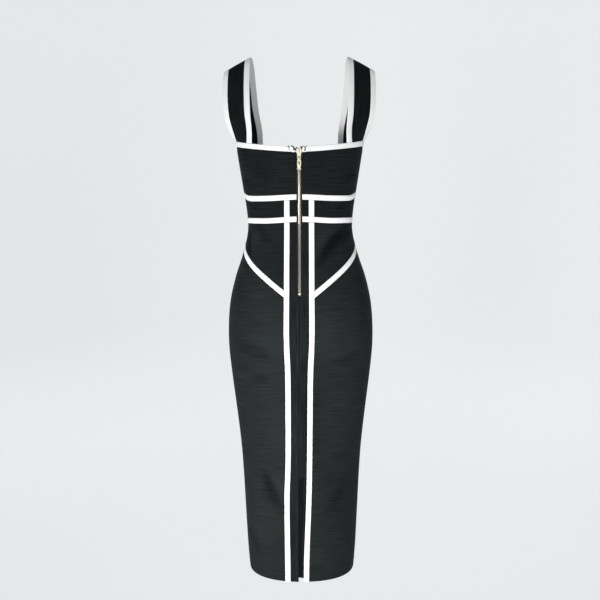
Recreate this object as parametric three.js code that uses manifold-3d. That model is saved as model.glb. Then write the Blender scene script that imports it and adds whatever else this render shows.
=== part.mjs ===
// A sleeveless ribbed bodycon midi dress, worn shape, hollow, with contrast trims and a metal
// back zip. Millimetres, +Z up. The wearer faces +Y, so the back with its zip faces -Y and the
// wearer's right is +X. The origin is midway between the tops of the two shoulder straps.

import * as THREE from "three";
import { mergeVertices } from "three/addons/utils/BufferGeometryUtils.js";
import Module from "manifold-3d";

// Cloth and seams
const CLOTH = 1.6; // thickness of the ribbed knit
const GAP = 0.3; // between two pieces at a seam
const TRIM = 11.8; // width of the sewn-in trims
const NECK_TRIM = 11.2; // width of the neckline trims
const TRIM_PROUD = 0.7; // how far a trim stands over the panels
const SQUARENESS = 2.4; // exponent of the horizontal sections, 2 would be an ellipse

// The outside of the cloth at each height: half width at the side seams, and depth behind and
// in front of the shoulder line.
const SECTIONS = [
  { z: -164, half: 144.5, back: 86, front: 99 },
  { z: -209, half: 137.8, back: 86, front: 110 },
  { z: -263, half: 129.3, back: 84, front: 104 },
  { z: -316, half: 120.9, back: 79, front: 90 },
  { z: -350, half: 118.0, back: 77.5, front: 86 },
  { z: -366, half: 118.4, back: 79, front: 87 },
  { z: -389, half: 122.3, back: 83, front: 89 },
  { z: -423, half: 131.8, back: 91, front: 93 },
  { z: -469, half: 147.6, back: 102, front: 97 },
  { z: -515, half: 158.6, back: 110, front: 98.5 },
  { z: -555, half: 163.6, back: 113, front: 98.5 },
  { z: -600, half: 165.4, back: 113, front: 98 },
  { z: -639, half: 164.2, back: 111, front: 97 },
  { z: -695, half: 158.6, back: 106, front: 95.5 },
  { z: -752, half: 151.8, back: 101, front: 94 },
  { z: -810, half: 144.9, back: 97.5, front: 93 },
  { z: -868, half: 139.1, back: 95.5, front: 92 },
  { z: -926, half: 135.4, back: 94.5, front: 91.5 },
  { z: -984, half: 132.6, back: 93.5, front: 91 },
  { z: -1044, half: 129.9, back: 92.5, front: 90 },
  { z: -1103, half: 127.0, back: 91.5, front: 89 },
  { z: -1148, half: 123.6, back: 90.5, front: 88 },
  { z: -1170, half: 121.2, back: 90, front: 87.5 },
];

// The two cups shaped into the front bodice
const CUP = { angle: 144, z: -214, depth: 10, spread: 19, height: 44 };

// The trims above and below the waist band: height of their top at the centre, how far it sags
// on the way to the side seam, and how far it then rises to the seam. The sag is whole and the
// rise starts at these shares of the way.
const WAIST_TRIM = { top: -286, sag: 3.2, rise: 9 };
const LOWER_TRIM = { top: -334, sag: 3.8, rise: 0 };
const SAG_BY = 0.5;
const RISE_FROM = 0.66;

const HEM_CENTRE = -1165;
const HEM_SIDE_RISE = 9;
const HEM_FRONT_RISE = 5;

// The back neckline dips from the armholes to the zip, the front one to the centre front.
const NECK_SIDE = -169;
const NECK_BACK_DIP = 15.5;
const NECK_FRONT_DIP = 12;

// The armhole's edge below the strap is a half ellipse on the cloth, centred forward of the
// side seam. These are its half width and depth along the trim's lower edge.
const ARMHOLE = { centre: 203.5, half: 40, drop: 34, trim: 14 };

// The hip trims run straight on the flat cloth, from the centre trims up to the side seams.
const HIP_TRIM = { along: 36, top: -492, slope: 0.785, rise: 15 };

// The centre back below the zip: how far the seam is drawn towards the wearer's right, and the
// inner edges of the centre trims, left and right of the centre line. They narrow below the
// seat and are drawn to the left at the vent.
const CENTRE_BACK = [
  { z: -298, seam: 0, left: 21.5, right: 20.4 },
  { z: -510, seam: 0, left: 22.6, right: 20.6 },
  { z: -600, seam: -1.0, left: 23.2, right: 20.4 },
  { z: -680, seam: -1.8, left: 21.0, right: 17.0 },
  { z: -781, seam: -2.8, left: 21.2, right: 15.6 },
  { z: -876, seam: -3.6, left: 22.0, right: 14.4 },
  { z: -969, seam: -4.8, left: 25.2, right: 12.4 },
  { z: -1060, seam: -5.3, left: 25.2, right: 8.8 },
  { z: -1112, seam: -5.6, left: 24.7, right: 6.9 },
  { z: -1170, seam: -5.8, left: 24.7, right: 5.8 },
];

// The vent in the centre back seam: the left edge laps over, the right one goes under it.
const VENT = { top: -912, underlap: 13, set: 2.3, ramp: 14, short: 9 };

// The right strap from the back neckline over the shoulder to the front one. Each row is one
// station, with the strap's inner and outer edge on its outside face, trims included.
const STRAP_WIDTH = 71;
const STRAP_CROWN = 1.8;
const STRAP_STATIONS = [
  { name: "above the back neckline", xi: 103, yi: -77, zi: -148, xo: 156, yo: -25, zo: -148 },
  { name: "shoulder blade", xi: 105, yi: -83, zi: -115, xo: 165, yo: -41, zo: -115 },
  { name: "upper back", xi: 106, yi: -80, zi: -84, xo: 167.5, yo: -42, zo: -84 },
  { name: "behind the shoulder", xi: 107, yi: -63, zi: -40, xo: 168, yo: -33, zo: -48 },
  { name: "near the top, behind", xi: 107, yi: -36, zi: 3, xo: 167, yo: -19, zo: -21.5 },
  { name: "shoulder line", xi: 106, yi: 0, zi: 16, xo: 165.5, yo: 0, zo: -16 },
  { name: "near the top, in front", xi: 104, yi: 35, zi: 3, xo: 164.5, yo: 20, zo: -22 },
  { name: "below the shoulder", xi: 101, yi: 61, zi: -41, xo: 163, yo: 34, zo: -50 },
  { name: "upper chest", xi: 97, yi: 77, zi: -92, xo: 160, yo: 41, zo: -94 },
  { name: "above the front neckline", xi: 90, yi: 88, zi: -138, xo: 149, yo: 39, zo: -138 },
];

// The zip, its chain, slider and pull, in the plane of the centre back
const ZIP = { half: 6, top: -184.5, chainEnd: -497.5, stopEnd: -503.5, end: -507.5 };
const ZIP_TAPE = 1.2;
const ZIP_CHAIN = { half: 2.5, over: 2, splitAt: -193, splitBy: 2.9 };

const BLACK = new THREE.MeshStandardMaterial({ color: 0x1f2224, roughness: 0.85, metalness: 0 });
const WHITE = new THREE.MeshStandardMaterial({ color: 0xf3f3f1, roughness: 0.8, metalness: 0 });
const TAPE = new THREE.MeshStandardMaterial({ color: 0x17191a, roughness: 0.9, metalness: 0 });
const GOLD = new THREE.MeshStandardMaterial({ color: 0xcfbf9d, roughness: 0.3, metalness: 1 });

const dress = new THREE.Group();
const HALF_TURN = Math.PI;
const QUARTER_TURN = Math.PI / 2;

function lerp(a, b, t) {
  return a + (b - a) * t;
}

// 0 below the first limit, 1 past the second, with a smooth rise between them.
function ramp(value, from, to) {
  return THREE.MathUtils.smoothstep((value - from) / (to - from), 0, 1);
}

function even(count) {
  return Array.from({ length: count + 1 }, (_, i) => i / count);
}

// A column of a table, read at a height between its rows along a smooth curve.
function read(table, column, z) {
  const last = table.length - 1;
  const level = THREE.MathUtils.clamp(z, table[last].z, table[0].z);
  const row = Math.min(Math.max(table.findIndex((r) => r.z <= level) - 1, 0), last - 1);
  const slope = (i) => {
    const above = table[Math.max(i - 1, 0)];
    const below = table[Math.min(i + 1, last)];
    return (below[column] - above[column]) / (below.z - above.z);
  };
  const [a, b] = [table[row], table[row + 1]];
  const span = b.z - a.z;
  const t = (level - a.z) / span;
  const start = (1 + 2 * t) * (1 - t) ** 2 * a[column] + t * (1 - t) ** 2 * span * slope(row);
  return start + t * t * (3 - 2 * t) * b[column] + t * t * (t - 1) * span * slope(row + 1);
}

// Distance of the cloth's outside from the vertical axis, at an angle round from the centre
// back towards the wearer's right.
function radius(angle, z) {
  const turn = Math.abs(((angle + HALF_TURN) % (2 * HALF_TURN)) - HALF_TURN);
  const depth = read(SECTIONS, Math.cos(turn) > 0 ? "back" : "front", z);
  const across = (Math.abs(Math.sin(turn)) / read(SECTIONS, "half", z)) ** SQUARENESS;
  const along = (Math.abs(Math.cos(turn)) / depth) ** SQUARENESS;
  const aside = (THREE.MathUtils.radToDeg(turn) - CUP.angle) / CUP.spread;
  const above = (z - CUP.z) / CUP.height;
  return (across + along) ** (-1 / SQUARENESS) + CUP.depth * Math.exp(-(aside ** 2) - above ** 2);
}

// The section at one height as arc lengths from the centre back round to the centre front.
const SECTION_STEPS = 180;
const arcsByHeight = new Map();
function arcs(z) {
  if (!arcsByHeight.has(z)) {
    const lengths = [0];
    let [x, y] = [0, -radius(0, z)];
    for (let k = 1; k <= SECTION_STEPS; k += 1) {
      const angle = (HALF_TURN * k) / SECTION_STEPS;
      const r = radius(angle, z);
      const [nx, ny] = [r * Math.sin(angle), -r * Math.cos(angle)];
      lengths.push(lengths[k - 1] + Math.hypot(nx - x, ny - y));
      [x, y] = [nx, ny];
    }
    arcsByHeight.set(z, lengths);
  }
  return arcsByHeight.get(z);
}

function halfGirth(z) {
  return arcs(z)[SECTION_STEPS];
}

// Arc length from the centre back to the side seam.
function sideSeam(z) {
  return arcs(z)[SECTION_STEPS / 2];
}

// Arc length from the centre front to the side seam.
function sideFromFront(z) {
  return halfGirth(z) - sideSeam(z);
}

// The point of the cloth a given arc from the centre back and at a given height, lifted off
// the outside face along its normal. The arc is positive towards the wearer's right.
function skin(arc, z, lift) {
  const lengths = arcs(z);
  const girth = lengths[SECTION_STEPS];
  const wrapped = THREE.MathUtils.euclideanModulo(arc + girth, 2 * girth) - girth;
  const length = Math.abs(wrapped);
  const above = Math.max(1, lengths.findIndex((value) => value >= length - 1e-9));
  const part = (length - lengths[above - 1]) / (lengths[above] - lengths[above - 1]);
  const angle = (Math.sign(wrapped) * HALF_TURN * (above - 1 + part)) / SECTION_STEPS;
  const r = radius(angle, z);
  const turned = (radius(angle + 0.002, z) - radius(angle - 0.002, z)) / 0.004 / r;
  const risen = radius(angle, z + 0.5) - radius(angle, z - 0.5);
  const [s, c] = [Math.sin(angle), Math.cos(angle)];
  const normal = new THREE.Vector3(s - turned * c, -c - turned * s, -risen).normalize();
  return new THREE.Vector3(r * s, -r * c, z).addScaledVector(normal, lift);
}

// The same for the front: the arc is from the centre front, positive towards the left.
function frontSkin(arc, z, lift) {
  return skin(arc + halfGirth(z), z, lift);
}

// A closed wall over a grid. place(u, v, lift) gives its points, and the wall reaches from the
// lift under to the lift over. With joined, the last row of v meets the first one again.
function wall(us, vs, place, under, over, joined = false) {
  const [columns, rows] = [us.length, vs.length];
  const points = [over, under].flatMap((lift) =>
    vs.flatMap((v) => us.flatMap((u) => place(u, v, lift).toArray())),
  );
  const index = [];
  const at = (layer, i, j) => (layer * rows + (j % rows)) * columns + i;
  const quad = (a, b, c, d) => index.push(a, b, c, a, c, d);
  const bands = joined ? rows : rows - 1;
  for (let j = 0; j < bands; j += 1) {
    for (let i = 0; i < columns - 1; i += 1) {
      quad(at(0, i, j), at(0, i + 1, j), at(0, i + 1, j + 1), at(0, i, j + 1));
      quad(at(1, i, j + 1), at(1, i + 1, j + 1), at(1, i + 1, j), at(1, i, j));
    }
    const end = columns - 1;
    quad(at(1, 0, j + 1), at(1, 0, j), at(0, 0, j), at(0, 0, j + 1));
    quad(at(1, end, j), at(1, end, j + 1), at(0, end, j + 1), at(0, end, j));
  }
  for (let i = 0; !joined && i < columns - 1; i += 1) {
    const top = rows - 1;
    quad(at(1, i, 0), at(1, i + 1, 0), at(0, i + 1, 0), at(0, i, 0));
    quad(at(1, i + 1, top), at(1, i, top), at(0, i, top), at(0, i + 1, top));
  }
  const geometry = new THREE.BufferGeometry();
  geometry.setAttribute("position", new THREE.Float32BufferAttribute(points, 3));
  geometry.setIndex(index);
  return geometry;
}

// The same shape on the wearer's other side.
function mirrored(geometry) {
  const index = Array.from(geometry.index.array);
  for (let i = 0; i < index.length; i += 3) {
    [index[i + 1], index[i + 2]] = [index[i + 2], index[i + 1]];
  }
  return geometry.scale(-1, 1, 1).setIndex(index);
}

function add(name, geometry, material) {
  const mesh = new THREE.Mesh(geometry, material);
  mesh.name = name;
  dress.add(mesh);
  return mesh;
}

// Adds one piece for each side. make(side) shapes it on the wearer's right.
function addPair(name, make, material) {
  add(`${name}_right`, make("right"), material);
  add(`${name}_left`, mirrored(make("left")), material);
}

// A piece cut on the flat cloth between two edges along the height and two across it.
// inner(z) and outer(z) give arcs, low(arc) and high(arc) give heights.
function cut(inner, outer, low, high) {
  const corner = (edge, level) => {
    let z = level(edge(-400));
    for (let step = 0; step < 40; step += 1) z = level(edge(z));
    return z;
  };
  const [z00, z10] = [corner(inner, low), corner(outer, low)];
  const [z01, z11] = [corner(inner, high), corner(outer, high)];
  const [a00, a10, a01, a11] = [inner(z00), outer(z10), inner(z01), outer(z11)];
  return (u, v) => {
    const [below, above] = [lerp(a00, a10, u), lerp(a01, a11, u)];
    const [near, far] = [lerp(z00, z01, v), lerp(z10, z11, v)];
    return [lerp(inner(near), outer(far), u), lerp(low(below), high(above), v)];
  };
}

// A wall of cloth over a cut piece, on the back or on the front.
function cloth(pattern, us, vs, onto, proud = 0) {
  const place = (u, v, lift) => onto(...pattern(u, v), lift);
  return wall(us, vs, place, -CLOTH, proud);
}

// Seam lines on the flat cloth
const constant = (value) => () => value;
const raised = (line, by) => (arc) => line(arc) + by;

function neckBack(arc) {
  const share = Math.min(Math.abs(arc) / (ARMHOLE.centre - ARMHOLE.half), 1);
  return NECK_SIDE - NECK_BACK_DIP * (1 - share ** 1.5);
}

function neckFront(arc) {
  const reach = halfGirth(NECK_SIDE) - ARMHOLE.centre - ARMHOLE.half;
  const share = Math.min(Math.abs(arc) / reach, 1);
  return NECK_SIDE - NECK_FRONT_DIP * (1 - share ** 2);
}

// A point of the armhole's edge below the strap, at an angle from its back end to its front
// end, and a distance out from the trim's lower edge.
function armholeEdge(turn, out) {
  return [
    ARMHOLE.centre - (ARMHOLE.half + out) * Math.cos(turn),
    NECK_SIDE - (ARMHOLE.drop + out) * Math.sin(turn),
  ];
}

// The height of that edge above a given arc.
function armholeLevel(arc, out) {
  const across = Math.min(Math.abs(arc - ARMHOLE.centre) / (ARMHOLE.half + out), 1);
  return NECK_SIDE - (ARMHOLE.drop + out) * Math.sqrt(1 - across ** 2);
}

function hipTrimTop(arc) {
  return HIP_TRIM.top + HIP_TRIM.slope * (arc - HIP_TRIM.along);
}

function hipTrimLow(arc) {
  return hipTrimTop(arc) - HIP_TRIM.rise;
}

function hemBack(arc) {
  return HEM_CENTRE + HEM_SIDE_RISE * (arc / sideSeam(HEM_CENTRE)) ** 2;
}

function hemFront(arc) {
  const share = (arc / sideFromFront(HEM_CENTRE)) ** 2;
  return HEM_CENTRE + lerp(HEM_FRONT_RISE, HEM_SIDE_RISE, share);
}

// Top of a level trim. span(z) is the arc to the side seam.
function bowed(trim, span) {
  return (arc) => {
    const share = Math.abs(arc) / span(trim.top);
    return trim.top - trim.sag * ramp(share, 0, SAG_BY) + trim.rise * ramp(share, RISE_FROM, 1);
  };
}

const under = (line, by = 0) => raised(line, -TRIM - by);
const waistBack = bowed(WAIST_TRIM, sideSeam);
const waistFront = bowed(WAIST_TRIM, sideFromFront);
const lowerBack = bowed(LOWER_TRIM, sideSeam);
const lowerFront = bowed(LOWER_TRIM, sideFromFront);
const centreTrimInner = (side) => (z) => read(CENTRE_BACK, side, z);
const centreTrimOuter = (side) => (z) => read(CENTRE_BACK, side, z) + TRIM;
const zipEdge = constant(ZIP.half + GAP);
const backSide = (z) => sideSeam(z) - GAP / 2;
const frontRight = (z) => GAP / 2 - sideFromFront(z);
const frontLeft = (z) => sideFromFront(z) - GAP / 2;

// Where the neckline's trim and the side seam meet the armhole's edge, as turns of it
const neckTurn = Math.asin(NECK_TRIM / ARMHOLE.drop);
const sideTurn = Math.acos((ARMHOLE.centre - sideSeam(NECK_SIDE - ARMHOLE.drop)) / ARMHOLE.half);

function turnsBetween(from, to, count) {
  return even(count).map((t) => lerp(from, to, t));
}

const FRONT_NECK_STEPS = 16;
const backTurns = turnsBetween(neckTurn, sideTurn, 4);
const frontTurns = turnsBetween(sideTurn, HALF_TURN - neckTurn, 8);

// Columns of the back bodice, even along the neckline and then at the armhole's own points. The
// waist trim and the waist band have them too, so that the bowed seams share their corners.
function backColumns() {
  const start = zipEdge();
  const end = backSide(armholeLevel(sideSeam(NECK_SIDE - ARMHOLE.drop), GAP));
  const corner = armholeEdge(neckTurn, GAP)[0];
  const level = even(12).map((t) => lerp(start, corner, t));
  const curved = backTurns.slice(1, -1).map((turn) => armholeEdge(turn, GAP)[0]);
  return [...level, ...curved, end].map((arc) => (arc - start) / (end - start));
}

// The same columns for a piece that starts at an arc further from the zip.
function backColumnsFrom(arc, z) {
  const first = (arc - zipEdge()) / (backSide(z) - zipEdge());
  const rest = backColumns().filter((u) => u > first + 0.01);
  return [0, ...rest.map((u) => (u - first) / (1 - first))];
}

function backBodice() {
  const top = (arc) => {
    const corner = armholeEdge(neckTurn, GAP)[0];
    return arc < corner ? neckBack(arc) - NECK_TRIM - GAP : armholeLevel(arc, GAP);
  };
  const pattern = cut(zipEdge, backSide, raised(waistBack, GAP), top);
  return cloth(pattern, backColumns(), even(6), skin);
}

function frontTop(arc) {
  let z = NECK_SIDE - ARMHOLE.drop;
  for (let step = 0; step < 8; step += 1) z = armholeLevel(halfGirth(z) - Math.abs(arc), GAP);
  const inFront = halfGirth(z) - Math.abs(arc) > armholeEdge(HALF_TURN - neckTurn, GAP)[0];
  return inFront ? neckFront(arc) - NECK_TRIM - GAP : z;
}

// Columns of the front bodice, front waist trim and front waist
function frontColumns() {
  const end = frontLeft(frontTop(sideFromFront(NECK_SIDE - ARMHOLE.drop)));
  const curved = frontTurns.slice(1).map((turn) => {
    const [arc, z] = armholeEdge(turn, GAP);
    return halfGirth(z) - arc;
  });
  const corner = curved[curved.length - 1];
  const right = [end, ...curved].map((arc) => -arc);
  const middle = even(FRONT_NECK_STEPS).slice(1, -1).map((t) => lerp(-corner, corner, t));
  const left = [...curved].reverse().concat(end);
  return [...right, ...middle, ...left].map((arc) => (arc + end) / (2 * end));
}

function frontBodice() {
  const pattern = cut(frontRight, frontLeft, raised(waistFront, GAP), frontTop);
  return cloth(pattern, frontColumns(), even(7), frontSkin);
}

// The trims along the neckline end on the armhole trims.
function backNecklineTrim() {
  const [topEnd] = armholeEdge(0, GAP);
  const [lowEnd] = armholeEdge(neckTurn, GAP);
  const outer = (z) => lerp(topEnd, lowEnd, (neckBack(topEnd) - z) / NECK_TRIM);
  const pattern = cut(zipEdge, outer, raised(neckBack, -NECK_TRIM), neckBack);
  return cloth(pattern, even(8), even(1), skin, TRIM_PROUD);
}

function frontNecklineTrim() {
  const ends = [0, neckTurn].map((turn) => {
    const [arc, z] = armholeEdge(HALF_TURN - turn, GAP);
    return halfGirth(z) - arc;
  });
  const reach = (z) => lerp(ends[0], ends[1], (NECK_SIDE - z) / NECK_TRIM);
  const outer = (z) => reach(THREE.MathUtils.clamp(z, NECK_SIDE - NECK_TRIM, NECK_SIDE));
  const pattern = cut((z) => -outer(z), outer, raised(neckFront, -NECK_TRIM), neckFront);
  return cloth(pattern, even(FRONT_NECK_STEPS), even(1), frontSkin, TRIM_PROUD);
}

function levelTrim(inner, outer, top, onto, us) {
  return cloth(cut(inner, outer, under(top), top), us, even(1), onto, TRIM_PROUD);
}

function backWaistSide(side) {
  const inner = (z) => centreTrimOuter(side)(z) + GAP;
  const [low, high] = [raised(lowerBack, GAP), under(waistBack, GAP)];
  const level = WAIST_TRIM.top - TRIM;
  const us = backColumnsFrom(inner(level), level);
  return cloth(cut(inner, backSide, low, high), us, even(2), skin);
}

function backWaistCentre(side) {
  const outer = (z) => centreTrimInner(side)(z) - GAP;
  const [low, high] = [raised(lowerBack, GAP), under(waistBack, GAP)];
  return cloth(cut(zipEdge, outer, low, high), even(1), even(2), skin);
}

function centreTrimWaist(side) {
  const [low, high] = [raised(lowerBack, GAP), under(waistBack, GAP)];
  const pattern = cut(centreTrimInner(side), centreTrimOuter(side), low, high);
  return cloth(pattern, even(1), even(2), skin, TRIM_PROUD);
}

function centreTrim(side) {
  const pattern = cut(
    centreTrimInner(side),
    centreTrimOuter(side),
    hemBack,
    under(lowerBack, GAP),
  );
  return cloth(pattern, even(1), even(28), skin, TRIM_PROUD);
}

function yoke(side) {
  const inner = (z) => centreTrimOuter(side)(z) + GAP;
  const low = raised(hipTrimTop, GAP);
  const pattern = cut(inner, backSide, low, under(lowerBack, GAP));
  return cloth(pattern, even(9), even(6), skin);
}

function hipTrim(side) {
  const inner = (z) => centreTrimOuter(side)(z) + GAP;
  const pattern = cut(inner, backSide, hipTrimLow, hipTrimTop);
  return cloth(pattern, even(9), even(1), skin, TRIM_PROUD);
}

function backSkirt(side) {
  const inner = (z) => centreTrimOuter(side)(z) + GAP;
  const pattern = cut(inner, backSide, hemBack, raised(hipTrimLow, -GAP));
  return cloth(pattern, even(9), even(20), skin);
}

// The strips either side of the zip run on as one down to the hem. Below the vent's top the
// right strip steps in behind the left one, and reaches under it.
function centreRows() {
  const top = LOWER_TRIM.top - TRIM - GAP;
  const share = (z) => (top - z) / (top - HEM_CENTRE);
  const zipEnd = [share(ZIP.end - GAP), share(ZIP.end - GAP - 1.2)];
  const level = even(8).map((t) => t * zipEnd[0]);
  const below = even(12).map((t) => lerp(zipEnd[1], share(VENT.top), t));
  const vent = [VENT.ramp, VENT.ramp + 6, VENT.ramp + 12].map((by) => share(VENT.top - by));
  const skirt = even(8).slice(1).map((t) => lerp(vent[2], 1, t));
  return [...level, ...below, ...vent, ...skirt].map((value) => 1 - value).reverse();
}

function centreStrip(side) {
  const below = side === "right";
  const seam = (z) => (below ? 1 : -1) * read(CENTRE_BACK, "seam", z);
  const inner = (z) => {
    const zipped = ramp(z, ZIP.end - GAP - 1.2, ZIP.end - GAP);
    const closed = lerp(seam(z) + GAP / 2, ZIP.half + GAP, zipped);
    const open = ramp(VENT.top - z, VENT.ramp, VENT.ramp + 12);
    return below ? lerp(closed, seam(z) - VENT.underlap, open) : closed;
  };
  const outer = (z) => centreTrimInner(side)(z) - GAP;
  const low = below ? raised(hemBack, VENT.short) : hemBack;
  const pattern = cut(inner, outer, low, under(lowerBack, GAP));
  const place = (u, v, lift) => {
    const [arc, z] = pattern(u, v);
    const behind = ramp(outer(z) - arc, 0, 8) * ramp(VENT.top - z, 0, VENT.ramp);
    return skin(arc, z, lift - (below ? VENT.set * behind : 0));
  };
  return wall(even(below ? 3 : 2), centreRows(), place, -CLOTH, 0);
}

// The strap's outside face at a share of its width from the inner edge, and a share of its
// length from the back neckline.
const strapBaseHalf = ARMHOLE.half - ARMHOLE.trim;
const STRAP_BASE = {
  backInner: ARMHOLE.centre - strapBaseHalf - STRAP_WIDTH,
  backOuter: ARMHOLE.centre - strapBaseHalf,
  frontInner: ARMHOLE.centre + strapBaseHalf + STRAP_WIDTH,
  frontOuter: ARMHOLE.centre + strapBaseHalf,
};
const strapCurves = new Map();

function backBase(share, lift) {
  const arc = lerp(STRAP_BASE.backInner, STRAP_BASE.backOuter, share);
  return skin(arc, neckBack(arc) + GAP, lift);
}

function frontBase(share, lift) {
  const arc = lerp(STRAP_BASE.frontInner, STRAP_BASE.frontOuter, share);
  return skin(arc, neckFront(halfGirth(NECK_SIDE) - arc) + GAP, lift);
}

function strapCurve(share) {
  if (!strapCurves.has(share)) {
    const stations = STRAP_STATIONS.map((s) =>
      new THREE.Vector3(s.xi, s.yi, s.zi).lerp(new THREE.Vector3(s.xo, s.yo, s.zo), share),
    );
    const points = [backBase(share, 0), ...stations, frontBase(share, 0)];
    strapCurves.set(share, new THREE.CatmullRomCurve3(points, false, "centripetal"));
  }
  return strapCurves.get(share);
}

function strapPoint(share, along, lift) {
  if (along === 0) return backBase(share, lift);
  if (along === 1) return frontBase(share, lift);
  const step = 0.004;
  const at = (w, t) => strapCurve(w).getPoint(THREE.MathUtils.clamp(t, 0, 1));
  const across = at(share + step, along).sub(at(share - step, along));
  const up = at(share, along + step).sub(at(share, along - step));
  const normal = across.cross(up).normalize();
  const crown = 4 * STRAP_CROWN * share * (1 - share) * ramp(along * (1 - along), 0, 0.09);
  return at(share, along).addScaledVector(normal, lift + crown);
}

const trimShare = ARMHOLE.trim / STRAP_WIDTH;
const gapShare = GAP / STRAP_WIDTH;
const strapRows = even(24);

function strapStrip(from, to, columns, proud) {
  const us = even(columns).map((t) => lerp(from, to, t));
  return wall(us, strapRows, strapPoint, -CLOTH, proud);
}

// The armhole trim is one closed loop: the strap's outer edge, then round under the arm.
function armholeTrim() {
  const turns = [...backTurns, ...frontTurns.slice(1)].reverse();
  const stations = [...strapRows.map((along) => ({ along })), ...turns.map((turn) => ({ turn }))];
  const place = (u, station, lift) => {
    if (station.turn === undefined) return strapPoint(lerp(1 - trimShare, 1, u), station.along, lift);
    return skin(...armholeEdge(station.turn, -ARMHOLE.trim * u), lift);
  };
  return wall(even(1), stations, place, -CLOTH, TRIM_PROUD, true);
}

// Zip tape and chain. Above the slider the two halves part a little.
function zipSplit(z) {
  return ZIP_CHAIN.splitBy * ramp(z, ZIP_CHAIN.splitAt, ZIP.top) + GAP / 2;
}

function zipTape() {
  const pattern = cut(zipSplit, constant(ZIP.half), constant(ZIP.end), constant(ZIP.top));
  const place = (u, v, lift) => skin(...pattern(u, v), lift);
  return wall(even(1), zipRows(ZIP.end), place, -CLOTH, ZIP_TAPE - CLOTH);
}

function zipChain() {
  const outer = (z) => zipSplit(z) + ZIP_CHAIN.half - GAP / 2;
  const low = constant(ZIP.chainEnd);
  const pattern = cut(zipSplit, outer, low, constant(ZIP.top + 1));
  const place = (u, v, lift) => skin(...pattern(u, v), lift);
  return wall(even(1), zipRows(ZIP.chainEnd), place, ZIP_TAPE - CLOTH + GAP, ZIP_CHAIN.over);
}

function zipRows(end) {
  const split = (ZIP_CHAIN.splitAt - end) / (ZIP.top - end);
  return [...even(14).map((t) => t * split), lerp(split, 1, 0.35), lerp(split, 1, 0.7), 1];
}

function zipStop() {
  const pattern = cut(constant(-3), constant(3), constant(ZIP.stopEnd), constant(ZIP.chainEnd - GAP));
  const place = (u, v, lift) => skin(...pattern(u, v), lift);
  return wall(even(1), even(1), place, ZIP_TAPE - CLOTH + GAP, ZIP_CHAIN.over + 0.5);
}

// The slider, link and pull are drawn in a frame of their own: x across, y up, z outwards from
// the cloth. Its origin is on the cloth's outside at the slider's middle.
const SLIDER = { z: -196, top: 7.5, low: -8, wide: 5.6, foot: 2.9, plate: 1.4, clear: 2.5 };
const BAIL = { half: 0.8, out: 7.8, top: 1.5, low: -8.2, bar: 1.3 };
const LINK = { out: 5.35, pivot: -5.4, bar: 1.25, half: 4, length: 9.9 };
const PULL = { half: 4.3, foot: 3.7, plate: 1.6, end: -37.5, eye: 2.1, bore: 1.16, eyeHalf: 2.3 };
const hardware = new THREE.Group();
hardware.position.set(0, -radius(0, SLIDER.z), SLIDER.z);
hardware.rotation.x = QUARTER_TURN;

const wasm = await Module();
wasm.setup();

function solid(geometry) {
  const bare = geometry.index ? geometry.toNonIndexed() : geometry.clone();
  bare.deleteAttribute("normal");
  bare.deleteAttribute("uv");
  const merged = mergeVertices(bare, 1e-4);
  const vertProperties = merged.attributes.position.array;
  const triVerts = new Uint32Array(merged.index.array);
  return new wasm.Manifold(new wasm.Mesh({ numProp: 3, vertProperties, triVerts }));
}

function geometryOf(manifold) {
  const { numProp, vertProperties, triVerts } = manifold.getMesh();
  const geometry = new THREE.BufferGeometry();
  const count = vertProperties.length / numProp;
  const starts = Array.from({ length: count }, (_, i) => i * numProp);
  const points = starts.flatMap((start) => Array.from(vertProperties.slice(start, start + 3)));
  geometry.setAttribute("position", new THREE.Float32BufferAttribute(points, 3));
  return geometry.setIndex(Array.from(triVerts));
}

function fused(geometries) {
  return geometryOf(geometries.map(solid).reduce((sum, next) => sum.add(next)));
}

function outline(points) {
  return new THREE.Shape(points.map(([x, y]) => new THREE.Vector2(x, y)));
}

function plate(shape, low, high) {
  const options = { depth: high - low, bevelEnabled: false, curveSegments: 6 };
  return new THREE.ExtrudeGeometry(shape, options).translate(0, 0, low);
}

// A rod or bored eye across x, its section drawn in the plane of height and depth.
function rodAcross(shape, half, y, z) {
  const options = { depth: 2 * half, bevelEnabled: false, curveSegments: 8 };
  const geometry = new THREE.ExtrudeGeometry(shape, options).translate(0, 0, -half);
  return geometry.rotateY(-QUARTER_TURN).translate(0, y, z);
}

function roundedBox(half, low, high, corner) {
  const shape = new THREE.Shape();
  shape.moveTo(-half + corner, low);
  shape.lineTo(half - corner, low);
  shape.absarc(half - corner, low + corner, corner, -QUARTER_TURN, 0, false);
  shape.absarc(half - corner, high - corner, corner, 0, QUARTER_TURN, false);
  shape.absarc(-half + corner, high - corner, corner, QUARTER_TURN, HALF_TURN, false);
  shape.absarc(-half + corner, low + corner, corner, HALF_TURN, 3 * QUARTER_TURN, false);
  return shape;
}

function circle(r) {
  return new THREE.Shape().absarc(0, 0, r, 0, 2 * HALF_TURN, false);
}

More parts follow.
